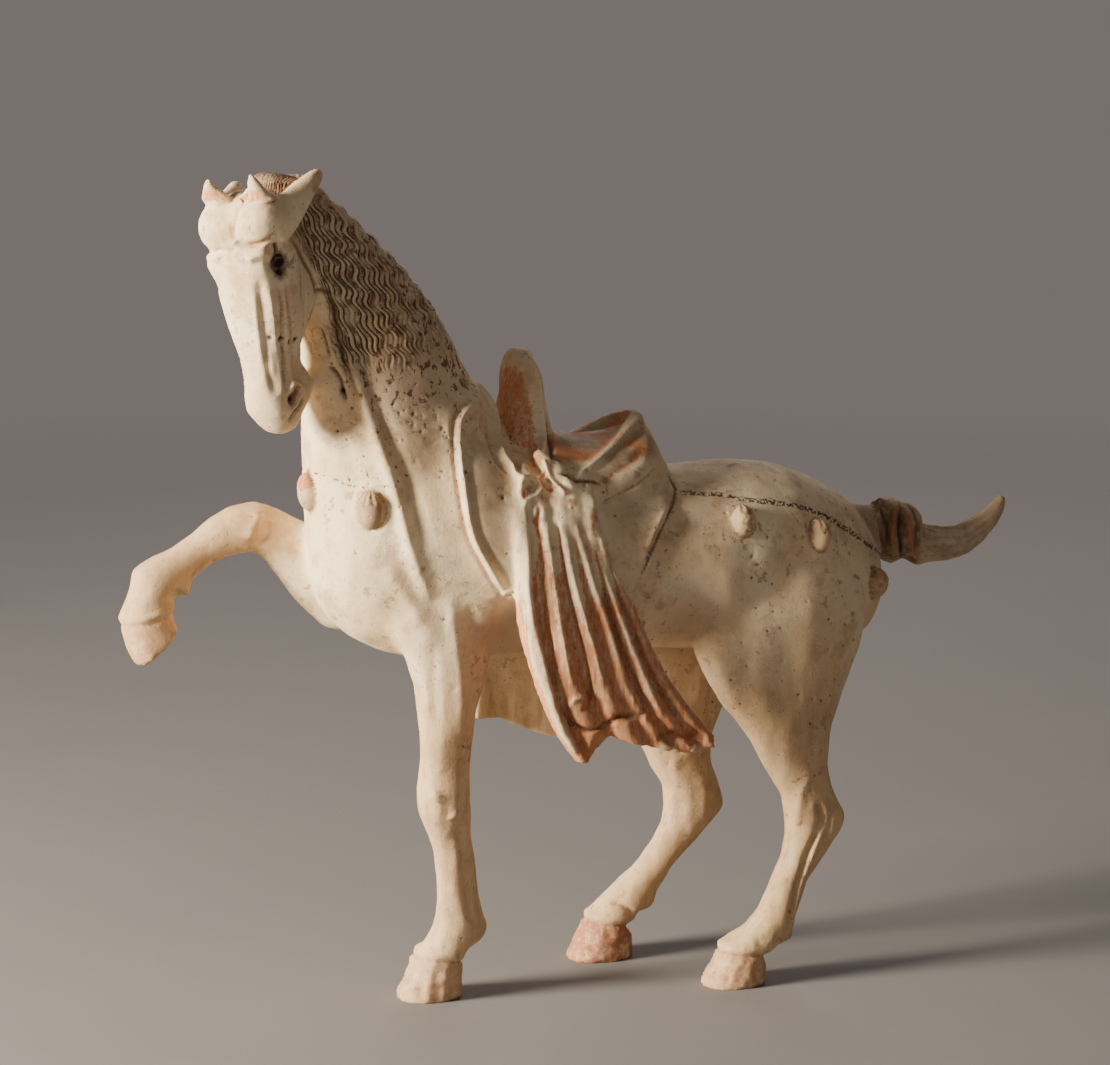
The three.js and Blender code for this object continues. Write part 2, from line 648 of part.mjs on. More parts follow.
// The whole figure, cut level under the hooves and centred on its own outline
const figure = joined([
  model(trunk(0), TRUNK_MUSCLES),
  model(neck(0), NECK_MUSCLES),
  limb(LEFT_FORE, 22, 11),
  limb(LEFT_HIND, 21, 11),
  limb(RIGHT_HIND, 21, 11),
  limb(RIGHT_FORE, 17, 11),
  ...headPieces(),
  ...saddlePieces(),
  drape(LEFT_DRAPE, 13, 4),
  drape(RIGHT_DRAPE, 10, 3),
  ...knot(-1),
  ...knot(1),
  tube(TAIL, 13, 9),
  tube(TAIL_BAND, 8, 11),
  ...PENDANTS.map(pendant),
]).add(clothPanels());

const floor = solid(new THREE.BoxGeometry(900, 500, 100).translate(0, 0, -50));
const mesh = figure.subtract(floor).getMesh();
const body = new THREE.BufferGeometry();
body.setAttribute('position', new THREE.BufferAttribute(Float32Array.from(mesh.vertProperties), 3));
body.setIndex(new THREE.BufferAttribute(Uint32Array.from(mesh.triVerts), 1));
body.computeBoundingBox();
const centre = body.boundingBox.getCenter(new THREE.Vector3());
body.translate(-centre.x, -centre.y, -body.boundingBox.min.z);
body.computeVertexNormals();

const clay = new THREE.MeshStandardMaterial({ color: 0xcdbb9c, roughness: 0.85, metalness: 0 });
const horse = new THREE.Mesh(body, clay);
horse.name = 'pottery_horse';

const group = new THREE.Group();
group.add(horse);
export default group;
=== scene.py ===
# %% [markdown]
# A horse of pressed and modelled earthenware, covered with pale slip and touched up in red after the firing.
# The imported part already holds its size, outline and pose as one faceted solid. This script turns a copy of
# that solid into the surface a hand would feel: rounded flesh, combed mane, folded cloth, worn paint, pits.

# %% The frame and the tools
import functools
import itertools
import math

import bmesh
import bpy
import numpy as np
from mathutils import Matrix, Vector


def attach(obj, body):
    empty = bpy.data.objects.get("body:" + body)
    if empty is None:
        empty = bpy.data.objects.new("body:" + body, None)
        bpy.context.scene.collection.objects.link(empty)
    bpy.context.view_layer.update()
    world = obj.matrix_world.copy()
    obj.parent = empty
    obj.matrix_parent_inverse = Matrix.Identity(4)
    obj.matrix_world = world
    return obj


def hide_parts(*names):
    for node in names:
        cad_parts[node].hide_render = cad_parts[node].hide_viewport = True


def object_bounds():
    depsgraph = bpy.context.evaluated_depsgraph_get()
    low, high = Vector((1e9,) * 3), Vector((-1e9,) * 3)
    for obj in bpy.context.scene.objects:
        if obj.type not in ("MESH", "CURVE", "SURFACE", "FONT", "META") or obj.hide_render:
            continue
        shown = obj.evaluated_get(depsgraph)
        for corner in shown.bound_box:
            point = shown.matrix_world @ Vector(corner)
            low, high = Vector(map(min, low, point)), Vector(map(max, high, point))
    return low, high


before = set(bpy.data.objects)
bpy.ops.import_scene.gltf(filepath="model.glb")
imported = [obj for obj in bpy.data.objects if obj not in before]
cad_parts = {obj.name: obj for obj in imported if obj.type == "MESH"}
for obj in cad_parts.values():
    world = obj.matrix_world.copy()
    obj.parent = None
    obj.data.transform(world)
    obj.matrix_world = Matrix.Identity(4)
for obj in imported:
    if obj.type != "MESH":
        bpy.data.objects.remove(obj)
cad_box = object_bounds()

MM = 0.001
NODE = "pottery_horse"
# The solid was drawn about the middle of the barrel and then centred on its own outline, so the places
# of features below, in millimetres, are those of the drawing: drawing = frame + DRAWN_FROM.
DRAWN_FROM = np.array([2.84, -2.56, 0.0])
print("frame:", [round(side / MM) for side in cad_box[1] - cad_box[0]], "mm")

# %% [markdown]
# The camera comes first. The picture was taken from the horse's left side, a little toward its front and a
# little above it, with a long lens. A long lens stands far off, so near and far hooves keep almost the same
# size.

# %% Camera
VIEW_AZIMUTH = math.radians(-22)
VIEW_ELEVATION = math.radians(9)
VIEW_DISTANCE = 2.4
VIEW_TARGET = Vector((-0.0248, 0.0026, 0.287))
SENSOR_WIDTH = 36.0
PICTURE_WIDTH = 1110
METRES_PER_PIXEL = 0.00062


def away(azimuth, elevation):
    """The direction from the horse toward something that stands at this azimuth and elevation."""
    level = math.cos(elevation)
    return Vector((math.sin(azimuth) * level, -math.cos(azimuth) * level, math.sin(elevation)))


def aimed(thing, place, target):
    """Puts a camera or a lamp at a place, looking at a target."""
    thing.location = place
    thing.rotation_euler = (target - place).to_track_quat("-Z", "Y").to_euler()
    bpy.context.scene.collection.objects.link(thing)
    return thing


camera = bpy.data.objects.new("camera", bpy.data.cameras.new("camera"))
camera.data.sensor_fit = "HORIZONTAL"
camera.data.sensor_width = SENSOR_WIDTH
camera.data.lens = VIEW_DISTANCE / METRES_PER_PIXEL * SENSOR_WIDTH / PICTURE_WIDTH
camera.data.clip_end = 50.0
aimed(camera, VIEW_TARGET + VIEW_DISTANCE * away(VIEW_AZIMUTH, VIEW_ELEVATION), VIEW_TARGET)
bpy.context.scene.camera = camera
print("lens:", round(camera.data.lens, 1), "mm")

# %% [markdown]
# The light is one soft warm lamp, low at the left of the picture, a weak cool one from the front that opens
# the shadows, one from behind for the other side, and a dim grey surround. A broad lamp gives a slow change
# from lit to shaded flank, which shows the barrel's roundness and leaves the folds of the cloth dark inside.

# %% Lights
KEY_POWER = 200.0
FILL_POWER = 2.0
BACK_POWER = 16.0


def lamp(name, azimuth, elevation, distance, size, power, colour):
    data = bpy.data.lights.new(name, "AREA")
    data.shape = "DISK"
    data.size = size
    data.energy = power
    data.color = colour
    place = VIEW_TARGET + distance * away(math.radians(azimuth), math.radians(elevation))
    return aimed(bpy.data.objects.new(name, data), place, VIEW_TARGET)


lamp("key", -87, 13, 2.2, 0.8, KEY_POWER, (1.0, 0.90, 0.74))
lamp("fill", -10, 35, 2.6, 1.6, FILL_POWER, (0.86, 0.92, 1.0))
lamp("back", 152, 28, 2.4, 1.2, BACK_POWER, (1.0, 0.96, 0.92))

SURROUND_LOW = (0.190, 0.163, 0.153, 1.0)
SURROUND_HIGH = (0.13, 0.112, 0.105, 1.0)
world = bpy.data.worlds.new("studio")
world.use_nodes = True
steps = world.node_tree.nodes
direction = steps.new("ShaderNodeTexCoord").outputs["Generated"]
upward = steps.new("ShaderNodeSeparateXYZ")
fade = steps.new("ShaderNodeValToRGB")
fade.color_ramp.elements[0].color = SURROUND_LOW
fade.color_ramp.elements[1].color = SURROUND_HIGH
world.node_tree.links.new(direction, upward.inputs[0])
world.node_tree.links.new(upward.outputs["Z"], fade.inputs[0])
world.node_tree.links.new(fade.outputs["Color"], steps["Background"].inputs["Color"])
bpy.context.scene.world = world
print("lights: key, fill, back")

# %% [markdown]
# A node material is a small program. These helpers write one step each, and take numbers or the result of
# another step, so that a finish below reads like a recipe. Patterns use Object coordinates: every piece sits
# at the origin, so a pattern keeps its real scale and place, whatever the mesh under it is made of.

# %% Steps of a finish
class Finish:
    """A node material that is written step by step."""

    def __init__(self, name):
        self.material = bpy.data.materials.new(name)
        self.material.use_nodes = True
        self.tree = self.material.node_tree
        self.shader = self.tree.nodes["Principled BSDF"]
        self.place = self.tree.nodes.new("ShaderNodeTexCoord").outputs["Object"]
        self.colour = None

    def put(self, socket, value):
        if isinstance(value, bpy.types.NodeSocket):
            self.tree.links.new(value, socket)
        elif isinstance(value, tuple) and len(value) == 3 and socket.type == "RGBA":
            socket.default_value = (*value, 1.0)
        else:
            socket.default_value = value

    def maths(self, operation, first, second=0.0):
        step = self.tree.nodes.new("ShaderNodeMath")
        step.operation = operation
        self.put(step.inputs[0], first)
        self.put(step.inputs[1], second)
        return step.outputs[0]

    def times(self, *values):
        return functools.reduce(lambda first, second: self.maths("MULTIPLY", first, second), values)

    def add(self, *values):
        return functools.reduce(lambda first, second: self.maths("ADD", first, second), values)

    def less(self, first, second):
        return self.maths("SUBTRACT", first, second)

    def ramp(self, value, low, high, bottom=0.0, top=1.0):
        """Rises smoothly from bottom to top as value goes from low to high."""
        step = self.tree.nodes.new("ShaderNodeMapRange")
        step.interpolation_type = "SMOOTHSTEP"
        for socket, number in zip(step.inputs, (value, low, high, bottom, top)):
            self.put(socket, number)
        return step.outputs[0]

    def mixed(self, amount, first, second):
        step = self.tree.nodes.new("ShaderNodeMix")
        step.data_type = "RGBA"
        self.put(step.inputs["Factor"], amount)
        self.put(step.inputs["A"], first)
        self.put(step.inputs["B"], second)
        return step.outputs["Result"]

    def cover(self, colour, *amounts):
        """Lays a colour over what is there, as thickly as the product of the amounts."""
        self.colour = self.mixed(self.times(*amounts), self.colour, colour)

    def noise(self, grain_mm, detail=3.0, roughness=0.6, stretch=(1, 1, 1), turn=(0, 0, 0)):
        """Cloudy values about 0.5, with clouds of about this size."""
        step = self.tree.nodes.new("ShaderNodeTexNoise")
        step.inputs["Scale"].default_value = 1 / (grain_mm * MM)
        step.inputs["Detail"].default_value = detail
        step.inputs["Roughness"].default_value = roughness
        place = self.place
        if stretch != (1, 1, 1) or turn != (0, 0, 0):
            mapping = self.tree.nodes.new("ShaderNodeMapping")
            mapping.inputs["Rotation"].default_value = turn
            mapping.inputs["Scale"].default_value = stretch
            self.tree.links.new(place, mapping.inputs["Vector"])
            place = mapping.outputs["Vector"]
        self.tree.links.new(place, step.inputs["Vector"])
        return step.outputs["Fac"]

    def cells(self, size_mm):
        """Distance from the nearest of many scattered points, and that point's own random value."""
        step = self.tree.nodes.new("ShaderNodeTexVoronoi")
        step.inputs["Scale"].default_value = 1 / (size_mm * MM)
        self.tree.links.new(self.place, step.inputs["Vector"])
        split = self.tree.nodes.new("ShaderNodeSeparateColor")
        self.tree.links.new(step.outputs["Color"], split.inputs[0])
        return step.outputs["Distance"], split.outputs[0]

    def mask(self, name):
        """A value that the mesh carries at each of its points."""
        step = self.tree.nodes.new("ShaderNodeAttribute")
        step.attribute_name = name
        return step.outputs["Fac"]

    def bump(self, height, depth_mm, strength=1.0):
        step = self.tree.nodes.new("ShaderNodeBump")
        step.inputs["Strength"].default_value = strength
        step.inputs["Distance"].default_value = depth_mm * MM
        self.tree.links.new(height, step.inputs["Height"])
        self.tree.links.new(step.outputs["Normal"], self.shader.inputs["Normal"])


# %% [markdown]
# The floor is a pale sheet, wide enough to run out of the picture. Far out it passes over into the colour of
# the surround, so that no horizon shows behind the horse. It is stage, not part of the horse.

# %% Floor
FLOOR_RADIUS = 9.0
FADE_START = 0.5
FADE_END = 3.0
FLOOR_DARK = (0.20, 0.19, 0.187)
FLOOR_LIGHT = (0.23, 0.219, 0.215)


def floor_finish():
    finish = Finish("pale_floor")
    clouds = finish.noise(180, detail=4)
    distance = finish.tree.nodes.new("ShaderNodeVectorMath")
    distance.operation = "LENGTH"
    finish.put(distance.inputs[0], finish.place)
    far = finish.ramp(distance.outputs["Value"], FADE_START, FADE_END)
    pale = finish.mixed(clouds, FLOOR_DARK, FLOOR_LIGHT)
    finish.put(finish.shader.inputs["Base Color"], finish.mixed(far, pale, (0.0, 0.0, 0.0)))
    finish.put(finish.shader.inputs["Roughness"], finish.ramp(clouds, 0.3, 0.7, 0.85, 0.95))
    finish.put(finish.shader.inputs["Specular IOR Level"], finish.ramp(far, 0.0, 1.0, 0.12, 0.0))
    finish.put(finish.shader.inputs["Emission Color"], SURROUND_LOW)
    finish.put(finish.shader.inputs["Emission Strength"], far)
    finish.bump(finish.noise(1.5), 0.05, 0.2)
    return finish.material


def floor():
    shape = bmesh.new()
    bmesh.ops.create_circle(shape, cap_ends=True, segments=96, radius=FLOOR_RADIUS)
    data = bpy.data.meshes.new("floor")
    shape.to_mesh(data)
    shape.free()
    sheet = bpy.data.objects.new("floor", data)
    bpy.context.scene.collection.objects.link(sheet)
    data.materials.append(floor_finish())
    return sheet


floor()
print("floor: radius", FLOOR_RADIUS, "m")

# %% [markdown]
# The skin starts as a copy of the solid. A copy of a node is loose triangles, so its points are merged first.
# The Remesh modifier then covers it with even, small squares. Even squares matter here: smoothing moves each
# point toward its neighbours, and where all are equally far apart it rounds every part alike.

# %% Copy the solid and cover it with even squares
SQUARE_MM = 1.6


def copied(node):
    shape = bmesh.new()
    shape.from_mesh(node.data)
    bmesh.ops.remove_doubles(shape, verts=shape.verts, dist=0.01 * MM)
    data = bpy.data.meshes.new("skin")
    shape.to_mesh(data)
    shape.free()
    return bpy.data.objects.new("skin", data)


def applied(thing):
    """The mesh of a thing with its modifiers done."""
    bpy.context.scene.collection.objects.link(thing)
    graph = bpy.context.evaluated_depsgraph_get()
    data = bpy.data.meshes.new_from_object(thing.evaluated_get(graph))
    bpy.data.objects.remove(thing)
    return data


skin = copied(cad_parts[NODE])
remesh = skin.modifiers.new("even squares", "REMESH")
remesh.mode = "VOXEL"
remesh.voxel_size = SQUARE_MM * MM
skin = applied(skin)
print("even squares:", len(skin.polygons))

# %% [markdown]
# From here on the work is done on arrays of numbers: one row per point of the mesh, in millimetres of the
# drawing. The helpers read and write them, and give each point its normal, the way it faces.

# %% Arrays of points


def read_points(mesh):
    flat = np.empty(len(mesh.vertices) * 3)
    mesh.vertices.foreach_get("co", flat)
    return flat.reshape(-1, 3) / MM + DRAWN_FROM


def write_points(mesh, points):
    mesh.vertices.foreach_set("co", ((points - DRAWN_FROM) * MM).ravel())
    mesh.update()


def read_normals(mesh):
    flat = np.empty(len(mesh.vertices) * 3)
    mesh.vertex_normals.foreach_get("vector", flat)
    return flat.reshape(-1, 3)


def read_edges(mesh):
    flat = np.empty(len(mesh.edges) * 2, int)
    mesh.edges.foreach_get("vertices", flat)
    return flat.reshape(-1, 2)


def rise(value, low, high):
    """0 below low, 1 above high and a smooth step between."""
    t = np.clip((value - low) / (high - low), 0, 1)
    return t * t * (3 - 2 * t)


def inside(value, low, high, soft):
    """1 between low and high, and 0 beyond, with soft borders."""
    return rise(value, low - soft, low + soft) * (1 - rise(value, high - soft, high + soft))


def hump(value, middle, width):
    """1 at the middle, falling off to both sides like a bell."""
    return np.exp(-(((value - middle) / width) ** 2))


def grain(points, size, seed=0):
    """Smooth random values from -1 to 1, in clumps of about this size."""
    places = points / size + seed * 17.31
    corner = np.floor(places).astype(np.int64)
    t = places - corner
    t = t * t * (3 - 2 * t)
    total = np.zeros(len(points))
    for step in itertools.product((0, 1), repeat=3):
        number = (corner + step) @ np.array([374761393, 668265263, 2147483647])
        number = (number ^ (number >> 13)) * 1274126177
        number = ((number ^ (number >> 16)) & 65535) / 32767.5 - 1
        weight = np.prod(np.where(np.array(step) == 1, t, 1 - t), axis=1)
        total += weight * number
    return total


print("points before the detail:", len(skin.vertices))

# %% [markdown]
# The head was modelled upright and then tucked and turned, so its features are found in its own upright
# frame: x runs back from the brow, y to the horse's right, z up. The neck bends too, so the middle between
# its two sides depends on the height.

# %% The frame of the head and the two sides
HEAD_BROW = np.array([-242.5, -49.0, 463.0])
HEAD_TURN = math.radians(38)
HEAD_TUCK = math.radians(9)
HEAD_TILT = math.radians(2)


def head_axes():
    (ct, st), (cu, su), (ci, si) = ((math.cos(a), math.sin(a)) for a in (HEAD_TURN, -HEAD_TUCK, -HEAD_TILT))
    turn = np.array([[ct, -st, 0], [st, ct, 0], [0, 0, 1]])
    tuck = np.array([[cu, 0, su], [0, 1, 0], [-su, 0, cu]])
    tilt = np.array([[1, 0, 0], [0, ci, -si], [0, si, ci]])
    return turn @ tuck @ tilt


HEAD_AXES = head_axes()


def to_head(points):
    return (np.asarray(points, float) - HEAD_BROW) @ HEAD_AXES


def from_head(points):
    return np.asarray(points, float) @ HEAD_AXES.T + HEAD_BROW


NECK_MIDDLE = ([358, 380, 402, 422, 440, 456, 470, 483, 495, 506, 515],
               [-1, -3, -6, -10, -13, -16, -18, -21, -24, -27, -30])


def mirrored(points):
    """The same place on the horse's other side, allowing for the bend of the neck."""
    other = np.array(points, float)
    other[:, 1] = 2 * np.interp(other[:, 2], *NECK_MIDDLE) - other[:, 1]
    return other


def mirrored_head(points):
    return from_head(to_head(points) * [1, -1, 1])


print("brow:", HEAD_BROW, "turned", round(math.degrees(HEAD_TURN)), "degrees")

# %% [markdown]
# Several parts of the figure need their own treatment, so each has a function that says how much a point
# belongs to it, from 0 to 1. The cloths come first. Each hanging cloth is bounded in front, behind and
# outward by a profile: heights in the first list, and where the border lies there in the second.

# %% Where the cloths are
LEFT_DRAPE = {
    "front": ([158, 166, 185, 208, 233, 259, 279, 304, 327, 334],
              [-40, -47, -57, -65, -71, -74, -75, -75.5, -72, -67]),
    "rear": ([158, 168, 185, 203, 224, 251, 273, 299, 317, 334],
             [58, 51, 36, 22, 11, 0, -11.5, -19, -19, -26]),
    "out": ([158, 170, 200, 235, 270, 304, 322, 334], [87, 86, 82.5, 78.5, 74, 67.5, 60, 51]),
    "top": 334,
    "foot": 150,
    "side": -1,
}
RIGHT_DRAPE = {
    "front": ([134, 150, 170, 195, 230, 270, 310, 334], [-46, -47, -46, -49, -60, -68, -72, -67]),
    "rear": ([134, 150, 170, 195, 230, 270, 310, 334], [41, 39, 32, 21, 6, -10, -20, -26]),
    "out": ([134, 170, 200, 235, 270, 304, 322, 334], [82, 81, 79, 76, 72.5, 66.5, 59, 51]),
    "top": 334,
    "foot": 128,
    "side": 1,
}
DRAPE_MARGIN = 3.0


def on_drape(points, drape):
    x, y, z = points.T
    front, rear = np.interp(z, *drape["front"]), np.interp(z, *drape["rear"])
    out = np.interp(z, *drape["out"])
    near = inside(x, front - DRAPE_MARGIN, rear + DRAPE_MARGIN, 2.5)
    near *= inside(z, drape["foot"], drape["top"], 3)
    return near * rise(drape["side"] * y, out - 17, out - 12)


# The cloth's lower and rear edge as seen from the side, and its front edge on the surface.
CLOTH_REAR = np.array([[-30, 257], [2, 259], [13, 272], [24, 291], [31, 308], [32, 322], [26, 340]])
CLOTH_EDGE = [
    (-82, -24, 379), (-89, -32, 376), (-95, -36, 373), (-99, -39, 370), (-102, -41, 365), (-103.5, -43, 358),
    (-104, -46, 348), (-105, -52, 337), (-105, -57, 325), (-104, -62, 308), (-101, -63, 296), (-96, -65, 285),
    (-90, -65, 275), (-85, -65, 267), (-79, -62, 260),
]


FAR_AWAY = 1e9


def from_line(points, line):
    """Distance of each point from a line of straight steps, and how far along it the nearest place is."""
    nearest = np.full(len(points), FAR_AWAY)
    along = np.zeros(len(points))
    for i, (start, end) in enumerate(zip(line[:-1], line[1:])):
        step = end - start
        t = np.clip(((points - start) @ step) / (step @ step), 0, 1)
        gap = np.linalg.norm(points - start - t[:, None] * step, axis=1)
        closer = gap < nearest
        nearest[closer] = gap[closer]
        along[closer] = (i + t[closer]) / (len(line) - 1)
    return nearest, along


print("cloths:", LEFT_DRAPE["foot"], "and", RIGHT_DRAPE["foot"], "mm above the ground")

# %% [markdown]
# The other parts are found by their distance from a line or a point, or lie behind a border. Soft borders
# matter, because a hard one would show on the finished skin as a crease.

# %% Where the head, mane, tail and pendants are
PENDANTS = [(-181, -6, 320)] + [(x, side * y, z) for x, y, z in (
    (-156, 47, 314), (79, 57, 298), (132, 54, 285), (187, 35, 248)) for side in (-1, 1)]
MANE_FRONT = ([335, 365, 395, 413, 434, 456, 466, 475, 484, 494, 502],
              [-140, -155, -170, -177, -181, -189, -197, -202, -211, -226, -250])
EAR_LINE = np.array([[12, 18, 17], [22, 22, 25], [32, 25, 31.5], [41, 27.5, 36], [49, 29, 40], [55, 30, 42]])


def on_ears(points):
    upright = to_head(points) + [0, 1.5, 0]
    beside = upright * [1, 0, 1] + np.abs(upright) * [0, 1, 0]
    gap, along = from_line(beside, EAR_LINE)
    return 1 - rise(gap, 12.5 - 6 * along, 16 - 6 * along)


def tuft_line(side):
    return np.array([[12, side * 14.5 - 1.5, 34.0], [4, side * 15.5 - 1.5, 54]])


def on_tufts(points):
    upright = to_head(points)
    gap = np.minimum(from_line(upright, tuft_line(-1))[0], from_line(upright, tuft_line(1))[0])
    return (1 - rise(gap, 8, 10)) * rise(upright[:, 2], 35, 40)


def on_crown(points):
    """The two masses of the forelock, with the tuft on each."""
    upright = to_head(points)
    both = on_tufts(points)
    for side in (-1, 1):
        lock = upright - [13, side * 12.5 - 1.5, 23.5 - side * 2.5]
        mass = 1 - rise(np.linalg.norm(lock, axis=1), 17.5, 21)
        both = np.maximum(both, mass * (1 - rise(upright[:, 0], 19, 24)))
    return both


def on_head(points):
    x, y, z = to_head(points).T
    face = inside(z, -115, 42, 3) * (1 - rise(x - 0.35 * (z + 60), 52, 60)) * inside(y, -36, 36, 3)
    return np.maximum(face, on_ears(points))


def on_mane(points):
    x, y, z = points.T
    hair = rise(x - np.interp(z, *MANE_FRONT), -1, 3) * rise(z, 338, 380) * (1 - rise(x, -84, -76))
    off_head = 1 - np.maximum(on_ears(points), on_crown(points))
    behind_brow = rise(to_head(points)[:, 0], 13, 18)
    return hair * off_head * behind_brow


def on_band(points):
    return inside(points[:, 0], 195, 226, 1.5) * (np.linalg.norm(points[:, 1:] - [0, 274], axis=1) < 27)


def on_saddle_front(points):
    """The rim of the cloth, the inner ridge, the pommel and the knot."""
    x, y, z = points.T
    rim = 1 - rise(from_line(points[:, [0, 2]], np.array(CLOTH_EDGE)[:, [0, 2]])[0], 5, 8)
    knot = inside(x, -86, 2, 3) * inside(z, 318, 352, 3) * rise(np.abs(y), 36, 42)
    pommel = inside(x, -88, -34, 3) * rise(z, 344, 350)
    return np.maximum.reduce([rim, knot, pommel])


def near_pendants(points):
    return 1 - rise(np.min([np.linalg.norm(points - p, axis=1) for p in PENDANTS], axis=0), 14, 20)


print("places of pendants:", len(PENDANTS))

# %% [markdown]
# Smoothing a surface also shrinks it, because every hill moves toward its surroundings. The cure is cheap:
# smooth what was taken away as well, and put that back. The facets of the solid go and the girth stays. Each
# part has its own strength, so that the barrel is rounded a lot and the edge of a fold hardly at all.

# %% Round the facets off
ROUNDS = 60
SOLE_MM = 0.6


def relaxed(values, neighbours, strength, rounds):
    one, other = neighbours.T
    count = len(values)
    degree = np.bincount(one, minlength=count) + np.bincount(other, minlength=count)
    values = values.copy()
    share = (0.5 * strength / np.maximum(degree, 1))[:, None]
    hold = (0.5 * strength)[:, None]
    for _ in range(rounds):
        total = np.empty_like(values)
        for axis in range(values.shape[1]):
            column = values[:, axis]
            total[:, axis] = np.bincount(one, column[other], count) + np.bincount(other, column[one], count)
        values += share * total - hold * values
    return values


def strength_of_rounding(points):
    x, y, z = points.T
    strength = np.ones(len(points))
    limits = [
        (0.30, 1 - rise(z, 190, 232)),
        (0.30, (1 - rise(x, -196, -180)) * rise(y, 10, 20) * (1 - rise(z, 308, 320))),
        (0.14, 1 - rise(z, 30, 48)),
        (0.26, (1 - rise(x, -255, -245)) * rise(y, 10, 20) * (1 - rise(z, 262, 275))),
        (0.20, on_head(points)),
        (0.10, on_crown(points)),
        (0.05, on_tufts(points)),
        (0.07, on_drape(points, LEFT_DRAPE) * (1 - 0.5 * rise(z, 290, 304))),
        (0.07, on_drape(points, RIGHT_DRAPE) * (1 - 0.5 * rise(z, 290, 304))),
        (0.14, inside(x, -74, 48, 6) * rise(z, 318, 326)),
        (0.12, 1 - rise(from_line(points[:, [0, 2]], CLOTH_REAR)[0], 5, 10)),
        (0.22, rise(x, 190, 200)),
        (0.10, on_band(points)),
        (0.30, near_pendants(points)),
    ]
    for limit, share in limits:
        strength = np.minimum(strength, 1 + (limit - 1) * share)
    return strength


points = read_points(skin)
neighbours = read_edges(skin)
strength = strength_of_rounding(points)
rounded = relaxed(points, neighbours, strength, ROUNDS)
rounded += relaxed(points - rounded, neighbours, strength, ROUNDS)
soles = points[:, 2] < SOLE_MM
rounded[soles, 2] = 0
write_points(skin, rounded)
print("rounded, largest move:", round(float(np.linalg.norm(rounded - points, axis=1).max()), 1), "mm")

# %% [markdown]
# Combed hair, a face and folded cloth need smaller squares than a flank does. Cutting every edge of those
# parts in two, as the Subdivide tool does, puts four squares where one was, and leaves the rest alone.

# %% Smaller squares where the detail is


def finer(mesh, chosen):
    shape = bmesh.new()
    shape.from_mesh(mesh)
    shape.verts.ensure_lookup_table()
    edges = [edge for edge in shape.edges if chosen[edge.verts[0].index] and chosen[edge.verts[1].index]]
    bmesh.ops.subdivide_edges(shape, edges=edges, cuts=1, use_grid_fill=True)
    bmesh.ops.triangulate(shape, faces=shape.faces)
    shape.to_mesh(mesh)
    shape.free()


points = read_points(skin)
detail = np.maximum.reduce([
    on_mane(points), on_head(points), on_crown(points), on_band(points), near_pendants(points),
    on_drape(points, LEFT_DRAPE), on_drape(points, RIGHT_DRAPE), on_saddle_front(points)])
finer(skin, detail > 0.3)
points = read_points(skin)
neighbours = read_edges(skin)
points = relaxed(points, neighbours, np.full(len(points), 0.5), 2)
write_points(skin, points)
normals = read_normals(skin)
print("points after refining:", len(points))

# %% [markdown]
# Every incised or raised line is a stroke: a few places on the surface, a height (or depth, below zero) and a
# width. A point near the stroke moves along its own normal, most at the middle and least at the edge, and
# takes on some grime, paint or ink. Folds, flutes, seams and creases are all made in this one way.

# %% A stroke along the surface
# A line stays off parts that lie more than this above or below it, such as the other face of a cloth.
SINK_MM = 5.0
height = np.zeros(len(points))
shift = np.zeros_like(points)
marks = {name: np.zeros(len(points)) for name in ("grime", "pigment", "ink", "slip", "cloth", "horn")}


def mark(name, amount, chosen=slice(None)):
    """Brings a mark up to this amount wherever it is lower."""
    marks[name][chosen] = np.maximum(marks[name][chosen], amount)


def cloud(place, radii, chosen=slice(None)):
    """1 at a place, fading away over these distances."""
    off = (points[chosen] - place) / radii
    return np.exp(-np.einsum("ij,ij->i", off, off))


def smooth_line(places, steps=8):
    """A curve through the places, as a line of short steps."""
    places = np.array(places, float)
    if len(places) < 3:
        return places
    padded = np.vstack([2 * places[0] - places[1], places, 2 * places[-1] - places[-2]])
    line = []
    for a, b, c, d in zip(padded, padded[1:], padded[2:], padded[3:]):
        for t in np.arange(steps) / steps:
            bend = (2 * a - 5 * b + 4 * c - d) * t * t + (3 * b - a - 3 * c + d) * t ** 3
            line.append(0.5 * (2 * b + (c - a) * t + bend))
    return np.array(line + [places[-1]])


def laid_on(line, close):
    """The line, moved onto the surface that is made of these points."""
    line = line.copy()
    for i, place in enumerate(line):
        nearest = close[np.argmin(np.sum((points[close] - place) ** 2, axis=1))]
        line[i] += normals[nearest] * np.dot(points[nearest] - place, normals[nearest])
    return line


def stroke(places, deep, wide, taper=0.16, **marking):
    line = smooth_line(places)
    reach = 2.6 * wide + 0.5
    low, high = line.min(0) - reach - 2, line.max(0) + reach + 2
    close = np.nonzero(np.all((points > low) & (points < high), axis=1))[0]
    line = laid_on(line, close)
    nearest = np.full(len(close), FAR_AWAY)
    along = np.zeros(len(close))
    for i, (start, end) in enumerate(zip(line[:-1], line[1:])):
        step = end - start
        t = np.clip(((points[close] - start) @ step) / (step @ step + 1e-9), 0, 1)
        off = points[close] - start - t[:, None] * step
        lift = np.einsum("ij,ij->i", off, normals[close])
        gap = np.sqrt(np.maximum(np.einsum("ij,ij->i", off, off) - lift * lift, 0))
        gap = np.where(np.abs(lift) > SINK_MM, FAR_AWAY, gap)
        closer = gap < nearest
        nearest[closer] = gap[closer]
        along[closer] = (i + t[closer]) / (len(line) - 1)
    ends = np.clip(np.minimum(along, 1 - along) / taper, 0, 1)
    shape = hump(nearest, 0, wide) * np.sqrt(ends)
    height[close] += deep * shape
    for name, amount in marking.items():
        mark(name, amount * shape, close)


